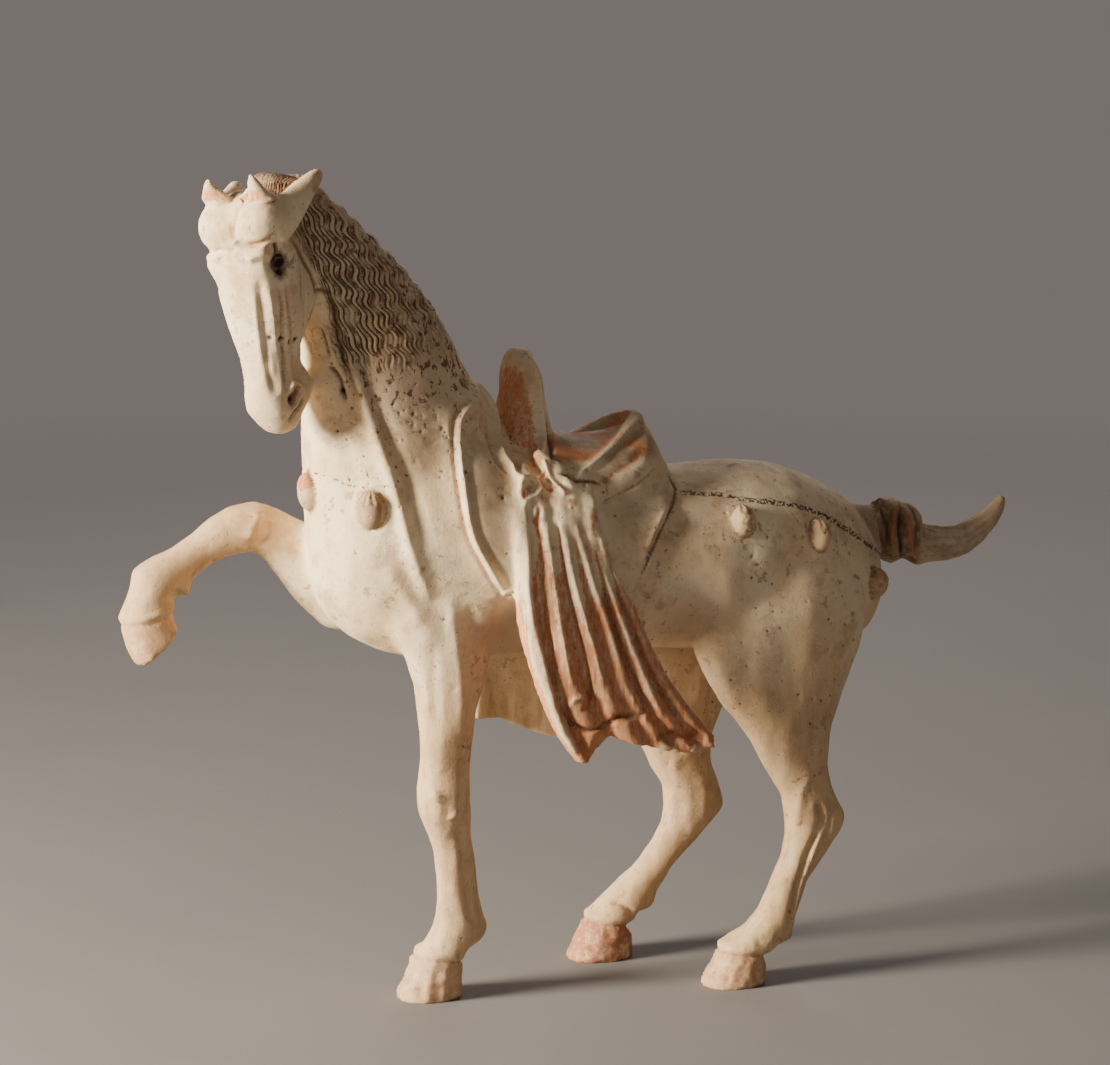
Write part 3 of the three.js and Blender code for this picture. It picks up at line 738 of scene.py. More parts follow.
def strokes(rows, other_side=None, **options):
    """Lays down rows of places, height, width and marks, and repeats each on the other side if asked."""
    for places, deep, wide, marking in rows:
        stroke(places, deep, wide, **marking, **options)
        if other_side:
            stroke(other_side(places), deep, wide, **marking, **options)


def push(place, radii, move):
    """Pulls the surface near a place bodily in a direction, in millimetres."""
    shift[:] += np.outer(cloud(place, radii), move)


def blob(place, radii, deep, **marking):
    shape = cloud(place, radii)
    height[:] += deep * shape
    for name, amount in marking.items():
        mark(name, amount * shape)


# %% [markdown]
# The face is long and dry. Under each eye the cheek falls into flutes that run down to the nostril, with
# sharp ribs between them. The places were found on the left side, which shows, and mirrored to the right.

# %% The face
FACE_STROKES = [
    ([(-229, -58, 457), (-229.5, -56, 446), (-228, -54, 439), (-226, -52, 427), (-224, -50, 416),
      (-222, -48, 404), (-219, -47, 393), (-217, -47, 387)], -1.5, 2.4, {"grime": 0.28}),
    ([(-225, -58, 450), (-223.5, -57, 446), (-222, -56, 439), (-219.5, -53, 427), (-218, -49, 416),
      (-215.5, -47, 407), (-214, -46, 396), (-213, -46, 386)], 1.1, 1.5, {"slip": 0.3}),
    ([(-218.5, -57, 453), (-216, -56, 444), (-215, -53, 433), (-214, -49, 421), (-212, -46, 409),
      (-211, -45, 398), (-210, -45, 388)], -1.9, 1.4, {"grime": 0.5}),
    ([(-215, -55, 446), (-213, -52, 433), (-211, -49, 421), (-209, -45, 408), (-207, -43, 399)], 1.3, 1.3,
      {"slip": 0.3}),
    ([(-213, -56, 455), (-212, -55, 443), (-209, -52, 432), (-207, -48, 422), (-205, -45, 412),
      (-203, -43, 402)], -1.5, 1.2, {"grime": 0.4}),
    ([(-233, -58, 448), (-232, -55, 436), (-230, -52, 420), (-227, -50, 406)], 0.9, 2.2, {}),
    ([(-212, -46, 412), (-209, -44, 403), (-207, -43, 397), (-207, -43, 392), (-209, -45, 387)], 1.6, 1.7,
      {"slip": 0.3}),
    ([(-204, -51, 470), (-203, -52, 460), (-202, -51, 446), (-201, -48, 439)], -0.6, 0.8, {"grime": 0.5}),
    ([(-238, -58, 467), (-234, -59, 470), (-229, -61, 471), (-225, -60, 470), (-222, -59, 468.5)], 3.0, 3.0,
      {"slip": 0.6}),
    ([(-222, -60, 478), (-220, -59, 474), (-219, -58, 469)], -1.6, 1.3, {"grime": 1.1}),
    ([(-208, -41, 370), (-204, -41, 375), (-199, -39, 379), (-197, -38, 386)], -2.0, 1.2, {"grime": 0.7}),
    ([(-209, -45, 390), (-205, -42, 393.5), (-200, -39, 391), (-197, -38, 387), (-198, -38, 382)], 2.0, 1.5,
      {"pigment": 0.3}),
    ([(-202, -46, 448), (-201, -44, 436), (-199, -41, 424)], -0.5, 0.8, {"grime": 0.4}),
]
strokes(FACE_STROKES, mirrored_head)
print("face strokes:", len(FACE_STROKES))

# %% [markdown]
# Eyes and nostrils are round hollows pressed with a finger or a stick, now dark and crusted. Above the brow
# the forelock is parted into two masses with a pointed tuft on each, and creases run between them.

# %% Eyes, nostrils and forelock
OPENINGS = np.array([(-217.5, -57.5, 466), (-216.5, -57, 461), (-205, -43.5, 383.5), (-201.5, -42, 388)])
for eye, lower_lid, nostril, corner in (OPENINGS, mirrored_head(OPENINGS)):
    blob(eye, (5.6, 5.6, 5.6), -3.0, grime=1.6)
    blob(lower_lid, (4.4, 4.4, 5.4), -1.6, grime=1.3)
    blob(nostril, (3.8, 3.8, 4.2), -4.0, grime=1.2, pigment=0.8)
    blob(corner, (2.8, 2.8, 4.6), -2.4, grime=1.0, pigment=0.6)
    crust = cloud(eye, 5.5) * grain(points, 1.9, 61)
    height += 1.2 * crust
    marks["grime"] *= 1 + 0.55 * crust
    mark("pigment", 2.2 * crust)
blob((-200, -41, 398), (7, 6, 13), 0, grime=0.3)
CHEEK_HOLES = [(-222, -52, 421), (-214, -49, 420), (-209, -47, 418), (-204, -45, 419), (-204.5, -46, 416)]
for place in CHEEK_HOLES:
    blob(place, (1.5, 1.5, 1.5), -1.8, grime=1.5)
FORELOCK_STROKES = [
    ([(-233, -60, 511), (-237, -59, 507), (-241, -57, 500), (-244, -55, 492), (-244, -52, 487),
      (-243, -53, 479)], -2.6, 1.7, {"grime": 0.5}),
    ([(-243, -53, 478), (-239, -56, 476), (-235, -58, 476), (-229, -63, 478), (-225, -66, 481),
      (-221, -68, 485)], -2.2, 2.0, {"grime": 0.45, "pigment": 0.6}),
    ([(-250, -35, 471), (-250, -42, 472), (-248, -45, 472), (-245, -50, 472), (-243, -53, 475)],
     -2.0, 1.6, {"grime": 0.3}),
]
strokes(FORELOCK_STROKES)
blob((-239, -55, 467), (3.2, 3.2, 4.2), 0, pigment=0.8)
blob((-233, -58, 476), (11, 6, 3.4), 0, pigment=0.8)
blob((-203, -60, 473), (3, 6, 4), -2.0, grime=1.4)
# The far eye's bulge shows past the brow.
push((-250, -31, 462), (7, 7, 6.5), (-3.6, 0.6, 0))
push((-249, -34, 471), (6, 7, 2.6), (2.2, 0, 0))
TUFT_SPREAD = 0.7
upright = to_head(points)
for side in (-1, 1):
    foot, tip = tuft_line(side)
    up = np.clip((upright[:, 2] - foot[2]) / (tip[2] - foot[2]), 0, 1)
    off = upright[:, 1] - (foot[1] + up * (tip[1] - foot[1]))
    near = on_tufts(points) * (np.abs(off) < 12)
    shift += np.outer(near * off * TUFT_SPREAD * (1 - up), HEAD_AXES[:, 1])
    push(from_head(tip), (5, 5, 6), (0, 0, 2.5))
print("forelock strokes:", len(FORELOCK_STROKES))

# %% [markdown]
# The mane was combed into wet clay: pairs of wavy lines run down from the crest on both sides, each pair with
# a thin ridge between them. Each point is given its place across the locks, in millimetres, and the waves are
# a sine along the fall of the hair. The same number goes with the mesh to the finish, for crisp dark lines.

# %% The mane
LOCK_MM = 6.2
WAVE_MM = 13.5
LOCK_LEAN = 0.5
GROOVE_AT = 1.5
EAR_SIDE = 49
mane = on_mane(points)
x, y, z = points.T
middle = np.interp(z, *NECK_MIDDLE)
side = np.sign(y - middle)
across = x + LOCK_LEAN * z + 0.25 * np.abs(y - middle)
near_ear = 1 - rise(across, EAR_SIDE - 4, EAR_SIDE + 14)
closer_set = 1 + rise(z, 425, 455)
across = np.where(across < EAR_SIDE, EAR_SIDE + closer_set * (across - EAR_SIDE), across)
wander = 1.5 * grain(points * [1, 1, 0.5], 15, 3) + 1.4 * grain(points, 31, 8)
phase = 0.06 * across + 2.2 * grain(points, 30, 4) + 0.8 * grain(points, 12, 14) + (side > 0)
swing = (1 - 0.5 * near_ear) * (1.5 + 0.5 * grain(points, 20, 9))
across = across + swing * np.sin(2 * math.pi * z / WAVE_MM + phase) + wander
upright = to_head(points)
on_poll = rise(z, 497, 503) * (1 - rise(upright[:, 0], 44, 54))
strand = across + (2.3 * upright[:, 1] + 0.8 * np.sin(upright[:, 0] * 0.45) - across) * (on_poll > 0.5)
from_ridge = np.abs(strand / LOCK_MM - np.round(strand / LOCK_MM)) * LOCK_MM
groove = hump(from_ridge, GROOVE_AT, 0.65)
ridge = 0.7 * hump(from_ridge, 0, 0.85) + 0.55 * hump(from_ridge, LOCK_MM / 2, 0.9)
low_end = 392 + 0.22 * (x + 150)
combed = rise(z + 5 * grain(points, 9, 5), low_end, low_end + 22)
crest = mane * rise(normals[:, 2], 0.3, 0.75) * rise(z, 400, 420)
uncombed = 1.1 * crest + 0.7 * rise(across, 58, 78)
broken = rise(grain(points, 7, 6) + 0.6 * grain(points, 22, 10) + uncombed, 0.4, 0.9)
combed = combed * (1 - 0.7 * broken)
uneven = 1 + 0.35 * grain(points, 11, 12)
height += mane * combed * uneven * (0.4 + ridge - 1.4 * groove)
height += mane * rise(z, 398, 412) * (0.45 + 0.25 * grain(points, 6, 7) * (1 - combed))
height += crest * 0.8 * np.cos(2 * math.pi * (0.55 * x - 0.83 * z) / 14)
marks["mane"] = mane * combed
marks["strand"] = strand
marks["hair"] = mane * rise(z, low_end - 12, low_end + 14) * (0.8 + 1.1 * on_poll)
marks["dashes"] = mane * (rise(z, 366, 404) + 0.35 * inside(z, 340, 372, 10)) * (1 - combed)
MANE_EDGE = [
    (-211, -55, 484), (-202, -55, 475), (-196, -52, 464), (-189, -48, 456), (-181, -43, 434),
    (-177, -40, 413), (-170, -38, 395), (-161, -40, 372),
]
for edge in (MANE_EDGE, mirrored(MANE_EDGE)):
    stroke(edge, -1.2, 2.4, taper=0.2, grime=0.8, pigment=0.6)
print("points in the mane:", int((mane > 0.5).sum()))

# %% [markdown]
# Neck and breast carry long ridges of muscle and one straight drawn line, the breast strap. On the rump a
# dotted line, the crupper, runs to the tail. Lines that are only drawn are ink: a colour with little depth.

# %% Neck, breast and rump
BODY_STROKES = [
    ([(-182, -30, 427), (-178, -30, 417), (-175, -29, 411), (-171, -30, 400), (-169, -30, 393)], 2.4, 1.9,
      {"slip": 0.3}),
    ([(-184, -29, 424), (-180, -28, 413), (-178.5, -28, 405)], -1.8, 1.3, {"grime": 0.7}),
    ([(-178, -26, 401), (-172, -29, 394), (-170, -29, 386), (-168, -30, 379)], -2.2, 1.4, {"grime": 1.0}),
    ([(-171, -36, 422), (-164, -34, 398), (-154, -40, 362), (-144, -47, 327), (-136, -53, 291),
      (-123, -51, 260)], 3.4, 4.0, {"slip": 0.25}),
    ([(-163, -36, 416), (-155, -37, 389), (-145, -43, 357), (-134, -49, 325), (-126, -53, 292)], -2.4, 4.5,
      {}),
    ([(-178, -28, 372), (-168, -37, 340), (-160, -42, 310)], -1.2, 4.5, {}),
    ([(-150, -49, 280), (-139, -50, 262), (-128, -50, 245)], 1.6, 5.0, {}),
    ([(-112, -56, 262), (-108, -53, 235), (-104, -48, 205), (-101, -45, 172)], 1.6, 4.0, {}),
    ([(-100, -57, 256), (-94, -51, 232), (-92, -46, 205)], -1.4, 3.5, {}),
    ([(-121, -50, 232), (-119, -46, 205), (-117, -43, 178)], -1.1, 3.5, {}),
]
BREAST_LINE = [(-186, 4, 336), (-183, -1, 335), (-176, -23, 333), (-164, -36, 328), (-142, -47, 329)]
CRUPPER_LINE = [
    (44, -40, 314), (58, -42, 313), (74, -44, 311), (87, -47, 308), (107, -47, 305), (124, -46, 301),
    (142, -43, 294), (163, -39, 282), (183, -29, 269), (196, -13, 261),
]
STRAPS = [(BREAST_LINE, -0.5, 0.8, {"ink": 0.75}), (CRUPPER_LINE, 0.3, 1.7, {"ink": 1.0})]
strokes(BODY_STROKES, mirrored)
strokes(STRAPS, mirrored, taper=0.02)
blob((-170, -29, 385), (1.8, 1.8, 2.6), -1.8, grime=1.4)
BODY_PUSHES = [
    ((48, -56, 232), (22, 20, 20), (0, 10, 0)), ((-72, -53, 236), (13, 18, 20), (0, 7, 0)),
    ((66, -60, 204), (15, 18, 17), (-2, -4, 0)), ((108, -69, 200), (16, 20, 24), (0, 3, 0)),
]
for place, radii, move in BODY_PUSHES:
    push(place, radii, move)
    push(np.array(place) * [1, -1, 1], radii, np.array(move) * [1, -1, 1])
print("body strokes:", len(BODY_STROKES), "pushes:", len(BODY_PUSHES))

# %% [markdown]
# The saddle cloth has a raised, lighter rim, and a second ridge in front of the pommel. The saddle's cantle
# has a ridge along its wing, with a painted band behind it, and a seam where it meets the cloth.

# %% Saddle and cloth
def beside(places, distance):
    """The same line, moved square to itself as seen from the side."""
    line = smooth_line(places, 2)
    run = np.gradient(line, axis=0)
    square = np.stack([run[:, 2], np.zeros(len(run)), -run[:, 0]], axis=1)
    return line + distance * square / np.linalg.norm(square, axis=1)[:, None]


SADDLE_STROKES = [
    (beside(CLOTH_EDGE, -2.2), 2.4, 1.9, {"slip": 0.55}),
    (beside(CLOTH_EDGE, 2.0), -1.4, 1.6, {"grime": 0.3, "pigment": 0.55}),
    (beside(CLOTH_EDGE, -6.5), -1.4, 2.2, {"pigment": 0.15}),
    ([(-78, -12, 386), (-73, -14, 374), (-70, -18, 365), (-72, -26, 355), (-73, -34, 349), (-73, -42, 342),
      (-70, -46, 337), (-67, -52, 332), (-64, -57, 329)], 4.0, 2.0, {"pigment": 0.8, "slip": 0.4}),
    ([(-80, -18, 380), (-77, -24, 369), (-78, -31, 358), (-79, -39, 348), (-78, -46, 341), (-74, -51, 333)],
      -2.0, 1.5, {"pigment": 0.5, "grime": 0.35}),
    ([(-45, -6, 399), (-43, -11, 394), (-41, -16, 388), (-39, -17, 382), (-39, -19, 373), (-39, -22, 361),
      (-40, -28, 350), (-44, -40, 343)], 2.4, 1.8, {"slip": 1.0}),
    ([(-52, -3, 394), (-49, -12, 382), (-48, -19, 366), (-49, -28, 352), (-50, -41, 339)], -1.2, 4.0,
      {"pigment": 0.95}),
    ([(-36, -19, 364), (-36, -24, 355), (-37, -30, 347), (-41, -43, 342), (-44, -52, 337)], -2.8, 1.6,
      {"pigment": 0.9, "grime": 0.9}),
    ([(31, -11, 358), (15, -23, 350), (-6, -38, 339), (-22, -47, 331), (-30, -55, 328)], 2.4, 2.6,
      {"slip": 0.8}),
    ([(24, -31, 343), (16, -39, 337), (-2, -48, 330), (-14, -51, 323)], -1.2, 3.2,
      {"pigment": 0.7, "grime": 0.3}),
    ([(30, -38, 330), (26, -41, 328), (9, -51, 321), (-9, -52, 314), (-13, -53, 311)], -1.5, 1.0,
      {"grime": 0.5, "pigment": 0.3}),
    ([(41, -15, 327), (43, -26, 322), (43, -37, 316), (36, -48, 307), (22, -62, 293), (12, -67, 276),
      (5, -67, 264)], -1.8, 1.1, {"grime": 0.9, "pigment": 0.75}),
    ([(38, -15, 330), (40, -26, 325), (39.5, -37, 318), (32, -48, 309), (18, -62, 294), (9, -67, 278)], 1.3,
      1.4, {}),
    ([(16, -65, 286), (10, -66, 277)], -0.9, 0.7, {"grime": 0.9}),
]
strokes(SADDLE_STROKES, mirrored)
CRUMBLED = (-78, -67, 262)
blob(CRUMBLED, (8, 5, 4), 0, slip=0.8)
crumbs = cloud(CRUMBLED, (8, 6, 4))
lumps = grain(points, 2.4, 11)
height += crumbs * 2.2 * lumps
mark("grime", crumbs * (lumps < -0.35) * 0.9)
MANE_CORNER = (-92, -22, 386)
blob(MANE_CORNER, (5, 8, 5), -2.5, grime=1.0)
print("saddle strokes:", len(SADDLE_STROKES))

# %% [markdown]
# The hanging cloth is gathered in a knot and falls in deep folds that widen toward the hem, where one of them
# rolls into a small scroll. The solid has the folds already. The strokes sharpen their valleys and carry the
# red paint, which survives where fingers and washing never reached.

# %% The hanging cloths
VALLEYS = [
    ([(-59, -64, 312), (-59, -69, 298), (-60, -72, 283), (-60, -73, 268), (-59, -76, 247), (-56, -78, 226),
      (-53, -79, 207), (-48, -79, 191), (-44, -81, 180)], -2.0, 2.4, {"pigment": 1.0, "grime": 0.35}),
    ([(-48, -66, 305), (-47, -69, 297), (-47, -71, 287), (-44, -74, 264), (-41, -77, 246), (-36, -80, 227),
      (-32, -80, 208), (-31, -79, 198), (-35, -84, 193), (-40, -85, 192)], -2.0, 1.5,
      {"grime": 0.5, "pigment": 1.0}),
    ([(-48, -82, 196), (-47, -81, 187), (-43, -84, 182), (-35, -87, 180), (-25, -84, 181), (-20, -87, 184),
      (-15, -87, 187), (-8, -85, 190)], -2.6, 1.5, {"grime": 0.6}),
    ([(-37, -68, 297), (-34, -73, 274), (-30, -75, 255), (-24, -78, 236), (-21, -81, 219), (-18, -83, 205),
      (-14, -85, 195)], -1.2, 1.8, {"pigment": 1.0, "grime": 0.2}),
    ([(-26, -70, 295), (-22, -73, 276), (-18, -74, 254), (-13, -77, 235), (-7, -79, 217), (-2, -81, 206),
      (3, -80, 193), (-1, -86, 185), (-2, -87, 179)], -2.0, 1.6, {"grime": 0.5, "pigment": 1.0}),
    ([(-17, -71, 285), (-9, -74, 256), (-2, -76, 238), (6, -79, 216), (14, -81, 200), (22, -81, 187),
      (26, -84, 179)], -1.8, 1.5, {"pigment": 1.1, "grime": 0.5}),
]
FRONT_RIB = [
    (-68, -66, 300), (-70, -74, 268), (-69, -78, 245), (-67, -79, 224), (-61, -82, 206), (-55, -84, 187),
    (-49, -85, 176), (-42, -87, 166),
]
RIDGES = [
    [(-66, -62, 318), (-67, -69, 295), (-69, -75, 266), (-66, -78, 242), (-61, -81, 218), (-56, -83, 196),
      (-50, -85, 179), (-43, -85, 166)],
    [(-53, -69, 306), (-53, -72, 290), (-52, -77, 264), (-48, -82, 226), (-44, -83, 207)],
    [(-42, -71, 297), (-40, -76, 272), (-35, -79, 248), (-29, -82, 226), (-25, -84, 206)],
    [(-31, -71, 295), (-28, -76, 273), (-22, -79, 250), (-15, -82, 226), (-9, -84, 206)],
    [(-18, -76, 277), (-13, -78, 254), (-7, -80, 235), (0, -82, 216), (7, -84, 199), (13, -87, 187)],
    [(-9, -68, 285), (0, -70, 262), (8, -71, 240), (16, -74, 218), (25, -77, 200), (36, -81, 184)],
    [(-53, -80, 218), (-51, -79, 199), (-47, -85, 181)],
    [(-46, -82, 193), (-44.5, -84, 198), (-40, -84, 200), (-36, -85, 197)],
    [(3, -88, 169), (13, -89, 166), (26, -87, 163.5), (39, -86, 163.5), (48, -87, 165)],
]
strokes(VALLEYS, taper=0.22)
for places in RIDGES:
    stroke(places, 1.5, 1.9, taper=0.3, slip=0.22)
blob((-12, -87, 186.5), (8, 5, 2.6), -2.8, grime=0.9)
stroke([(9, -87, 172), (17, -85, 172.5), (26, -87, 173), (35, -86, 171.5), (43, -87, 169)], -3.4, 3.0,
       taper=0.3, grime=0.35, pigment=1.2)
print("valleys:", len(VALLEYS), "ridges:", len(RIDGES))

# %% [markdown]
# The knot is a few rolls of clay crossing each other, so it is a group of short strokes. The cloth on the
# other side hangs longer and is plainer: it gets shallow folds and little paint.

# %% The knot, the other cloth and the paint
KNOT_STROKES = [
    ([(-69, -62, 319), (-67, -57, 327), (-63, -55, 331), (-57, -52, 331), (-54, -54, 330)], 1.5, 1.6,
      {"slip": 0.2, "pigment": 0.5}),
    ([(-53, -56, 326), (-57, -59, 321), (-63, -61, 319), (-68, -63, 315)], 1.2, 1.6, {"slip": 0.2}),
    ([(-60, -57, 326), (-64, -60, 324)], -1.6, 1.6, {"pigment": 1.1}),
    ([(-50, -50, 342), (-49, -52, 338), (-46, -54, 331), (-43, -57, 325), (-39, -59, 320)], 3.4, 1.3,
      {"slip": 0.35}),
    ([(-53, -52, 335), (-51, -55, 329), (-47, -58, 322)], -2.0, 1.5, {"pigment": 1.1, "grime": 0.4}),
    ([(-40, -57, 327), (-33, -60, 325), (-23, -58, 324), (-11, -52, 320)], 0.9, 1.6, {"pigment": 0.5}),
    ([(-42, -53, 331), (-33, -57, 329), (-22, -55, 327), (-11, -49, 323)], -1.6, 1.4,
      {"grime": 0.8, "pigment": 1.0}),
    ([(-11, -52, 319), (-13, -54, 312), (-12, -60, 302), (-10, -65, 289), (-5, -67, 274)], 0.8, 1.6,
      {"slip": 0.3}),
    ([(-57, -64, 315), (-61, -67, 305), (-61, -70, 296)], -1.4, 1.4, {"pigment": 1.1, "grime": 0.3}),
]
strokes(KNOT_STROKES, mirrored)
FAR_FOLDS = [
    [(-52, 66, 300), (-54, 74, 262), (-46, 78, 220), (-36, 80, 180)],
    [(-36, 67, 300), (-34, 74, 262), (-24, 78, 220), (-12, 80, 180)],
    [(-25, 66, 294), (-16, 72, 256), (-4, 76, 216), (10, 79, 178)],
]
for places in FAR_FOLDS:
    stroke(places, -1.0, 2.6, grime=0.2, pigment=0.25)
    stroke(np.array(places) - [7, 0, 0], 0.9, 2.8, slip=0.3)
stroke(FRONT_RIB, 0.8, 2.2, taper=0.1, slip=0.5)
bare = 1 - 0.6 * np.minimum(marks["slip"], 1)
weave = grain(points * [1, 1, 0.12], 1.6, 21) + 0.6 * grain(points * [1, 1, 0.1], 3.4, 22)
# How deep the brushing goes and how much paint is left, on the cloth that shows and on the other
for drape, brushed, paint in ((LEFT_DRAPE, 0.22, 0.76), (RIGHT_DRAPE, 0.1, 0.3)):
    cloth = on_drape(points, drape)
    height += cloth * brushed * weave
    mark("pigment", cloth * paint * rise(300 - points[:, 2] + 30 * grain(points, 18, 23), -10, 60))
    marks["pigment"] *= bare
    mark("cloth", cloth)
KNOT_PAINT = [
    ((-53, -62, 318), 4), ((-61, -66, 306), 6), ((-66, -60, 322), 5), ((-24, -66, 305), 5),
    ((-46, -66, 309), 5), ((-36, -62, 316), 4),
]
for place, reach in KNOT_PAINT:
    blob(place, reach, 0, pigment=0.75)
print("knot strokes:", len(KNOT_STROKES))

# %% [markdown]
# The saddle's paint differs from the slip in colour alone, so it is marked by its place. The tail is bound
# with a twisted band near its root, and its bare end is combed lengthwise toward the tip.

# %% The saddle's paint and the tail
x, y, z = points.T
pommel_front = inside(x, -68, -44, 3) * inside(z, 334, 402, 5) * rise(-normals[:, 0], 0.1, 0.5)
mark("pigment", 0.72 * pommel_front * inside(z, 330, 394, 8))
# The seat also takes the brown veil, partly painted shade where the pommel keeps the light off it.
seat = inside(x, -38, 34, 4) * inside(z, 336, 364, 3) * rise(normals[:, 2], 0.1, 0.6)
marks["seat"] = seat
mark("pigment", 0.8 * seat * rise(grain(points, 14, 31), -0.2, 0.4))
TAIL_LINE = np.array([[166, 0, 279], [184, 0, 282.5], [201, 0, 277], [216, 0, 271], [230, 0, 265.5],
                      [246, 0, 263.5], [262, 0, 266], [276, 0, 273.5], [286, 0, 283], [292, 0, 292.5]])
tail_gap = from_line(points, TAIL_LINE)[0]
marks["band"] = on_band(points)
mark("pigment", marks["band"] * 0.3)
around = np.arctan2(y, z - np.interp(x, TAIL_LINE[:, 0], TAIL_LINE[:, 2]))
# The tail takes the brown veil, partly painted shade where the rump keeps the light off it.
marks["tail"] = rise(x, 174, 186) * (1 - rise(tail_gap, 17, 21)) * rise(z, 250, 256)
bare_tail = rise(x, 226, 232) * (1 - rise(tail_gap, 20, 24))
combing = np.cos(9 * around + 0.10 * x + 0.8 * grain(points, 16, 24))
height += bare_tail * 0.9 * combing * (1 - rise(x, 266, 292))
mark("grime", bare_tail * 0.45 * rise(-combing, 0.5, 1.0))
TAIL_STROKES = [
    ([(203, 0, 298), (197, -11, 284), (195, -15, 272), (199, -14, 262)], 2.4, 1.8, {"slip": 0.3}),
    ([(199, -6, 292), (200, -15, 279), (199, -18, 268)], -2.2, 1.5, {"grime": 1.0}),
    ([(213, -2, 294), (205, -14, 285), (203, -18, 270), (208, -13, 259)], 2.8, 2.0, {"pigment": 0.6}),
    ([(212, -8, 291), (209, -17, 278), (209, -18, 266), (214, -13, 256)], -2.6, 1.5, {"grime": 1.1}),
    ([(214, -8, 291), (215, -18, 276), (218, -17, 265), (226, -9, 255)], 2.6, 1.9, {"pigment": 0.9}),
    ([(220, -4, 289), (221, -14, 277), (223, -14, 267)], -1.8, 1.5, {"grime": 0.9}),
]
strokes(TAIL_STROKES, mirrored)
push((227, -5, 255), (5, 8, 5), (2.0, 0, -3.5))
print("tail strokes:", len(TAIL_STROKES))

# %% [markdown]
# Each hoof has a coronet, a low roll where the horn begins, with a groove below it, and horn that is rough
# and ringed. The far hind hoof kept most of its red. The raised hoof hangs, so its coronet slopes the other
# way.

# %% Hooves
# The middle of each standing hoof, the height of its coronet and its redness
HOOVES = [(-107, -2, 27, 0.3), (83, -45, 21.5, 0.5), (30, 45, 24.5, 1.0)]
coarse_horn = 0.55 * grain(points, 4.5, 26) + 0.3 * grain(points, 2.2, 27)
for hoof_x, hoof_y, top, redness in HOOVES:
    near = 1 - rise(np.hypot(x - hoof_x, y - hoof_y), 34, 42)
    level = z + 0.12 * (x - hoof_x) - top
    mark("horn", near * redness * (1 - rise(level, -1.5, 2)))
    height += near * (1.5 * hump(level, 3, 2.6) - 1.3 * hump(level, -0.8, 1.1))
    rings = 0.2 * np.sin((level + top) * 2.1 + grain(points, 8, 25))
    height += near * (1 - rise(level, -3, 0)) * (coarse_horn + rings)
    height += near * 0.5 * grain(points, 3.5, 28) * inside(level, 0, 9, 3)
    height -= near * 0.9 * inside(level, 4 - top, -6, 3) * rise(-normals[:, 0], 0.2, 0.7)
    mark("grime", near * 0.5 * hump(level, -0.6, 1.0))
RAISED = np.array([-270, 42, 238])
RAISED_CORONET = 244
raised = 1 - rise(np.linalg.norm(points - RAISED, axis=1), 24, 32)
level = z - 0.23 * (x - RAISED[0]) - RAISED_CORONET
mark("horn", raised * 0.35 * (1 - rise(level, -2, 1.5)))
height += raised * (1.4 * hump(level, 2.6, 2.4) - 1.1 * hump(level, -0.6, 1.0))
print("hooves:", len(HOOVES) + 1)

# %% [markdown]
# Sinews and joints give the legs their dry look: long shallow strokes along the cannons, and pushes that pull
# the tufts of the fetlocks, the knee and the heel out of the rounded skin.

# %% Legs and tufts
LEG_STROKES = [
    ([(-98, -38, 132), (-99, -36, 118), (-95, -30, 97), (-92, -26, 77), (-89, -25, 57), (-84, -23, 46)], -2.2,
      2.0, {}),
    ([(-92, -32, 128), (-90, -30, 112), (-87, -24, 90), (-84, -20, 70), (-79, -18, 52)], 1.2, 2.4, {}),
    ([(-114, -39, 138), (-117, -37, 133)], 1.8, 4.0, {}),
    ([(-105, -40, 124), (-103, -39, 121)], 1.6, 4.0, {}),
    ([(130, -63, 116), (134, -63, 104), (125, -60, 84), (120, -58, 64), (115, -58, 45), (113, -57, 33)], -2.6,
      1.9, {}),
    ([(135, -62, 112), (131, -61, 92), (126, -59, 76), (120, -57, 58), (116, -56, 38)], 1.6, 1.6,
      {"slip": 0.3}),
    ([(140, -60, 116), (138, -60, 96), (133, -58, 79), (126, -55, 60), (120, -53, 38)], -1.8, 1.5, {}),
    ([(124, -65, 138), (119, -62, 120), (117, -60, 100)], 1.6, 3.5, {}),
    ([(30, 32, 42), (38, 31, 37), (46, 33, 30)], -2.0, 2.0, {"grime": 0.3}),
    ([(-221, 34, 281), (-231, 36, 277), (-242, 34, 271), (-247, 37, 264)], -2.8, 1.6, {"grime": 0.4}),
    ([(-203, 30, 305), (-209, 27, 297), (-212, 27, 289)], 1.6, 3.0, {}),
    ([(-197, 28, 300), (-200, 27, 290), (-206, 27, 283)], -1.2, 2.6, {}),
]
strokes(LEG_STROKES)
LEG_PUSHES = [
    ((-69, 0, 37), (6, 9, 6), (3.5, 0, -3.0)), ((-83, 0, 27), (7, 14, 4.5), (-6.0, 0, 1.0)),
    ((61, 45, 30), (6, 9, 6), (3.5, 0, -2.5)), ((48, 45, 21), (7, 14, 4.5), (-6.5, 0, 1.0)),
    ((117, -45, 24), (6, 9, 6), (3.5, 0, -3.0)), ((103, -45, 18), (7, 14, 4.5), (-6.0, 0, 1.0)),
    ((-248, 40, 259), (5, 8, 5), (3.0, 0, -5.0)), ((-258, 40, 258), (5, 14, 4), (-1.5, 0, 3.5)),
    ((-280, 42, 277), (11, 14, 10), (-4.0, 0, 3.0)), ((-190, 30, 311), (12, 14, 5), (0.5, 0, 2.0)),
    ((-289, 44, 246), (5, 12, 4), (-1.2, 0, 0)),
]
for place, radii, move in LEG_PUSHES:
    push(place, radii, move)
upright = to_head(points)
facing_forward = rise(-(normals @ HEAD_AXES)[:, 0], 0.2, 0.6)
mark("pigment", 0.75 * on_tufts(points) * inside(upright[:, 2], 37, 46, 1.5) * facing_forward)
raised_leg = (1 - rise(x, -200, -184)) * rise(y, 6, 16) * (1 - rise(z, 312, 325))
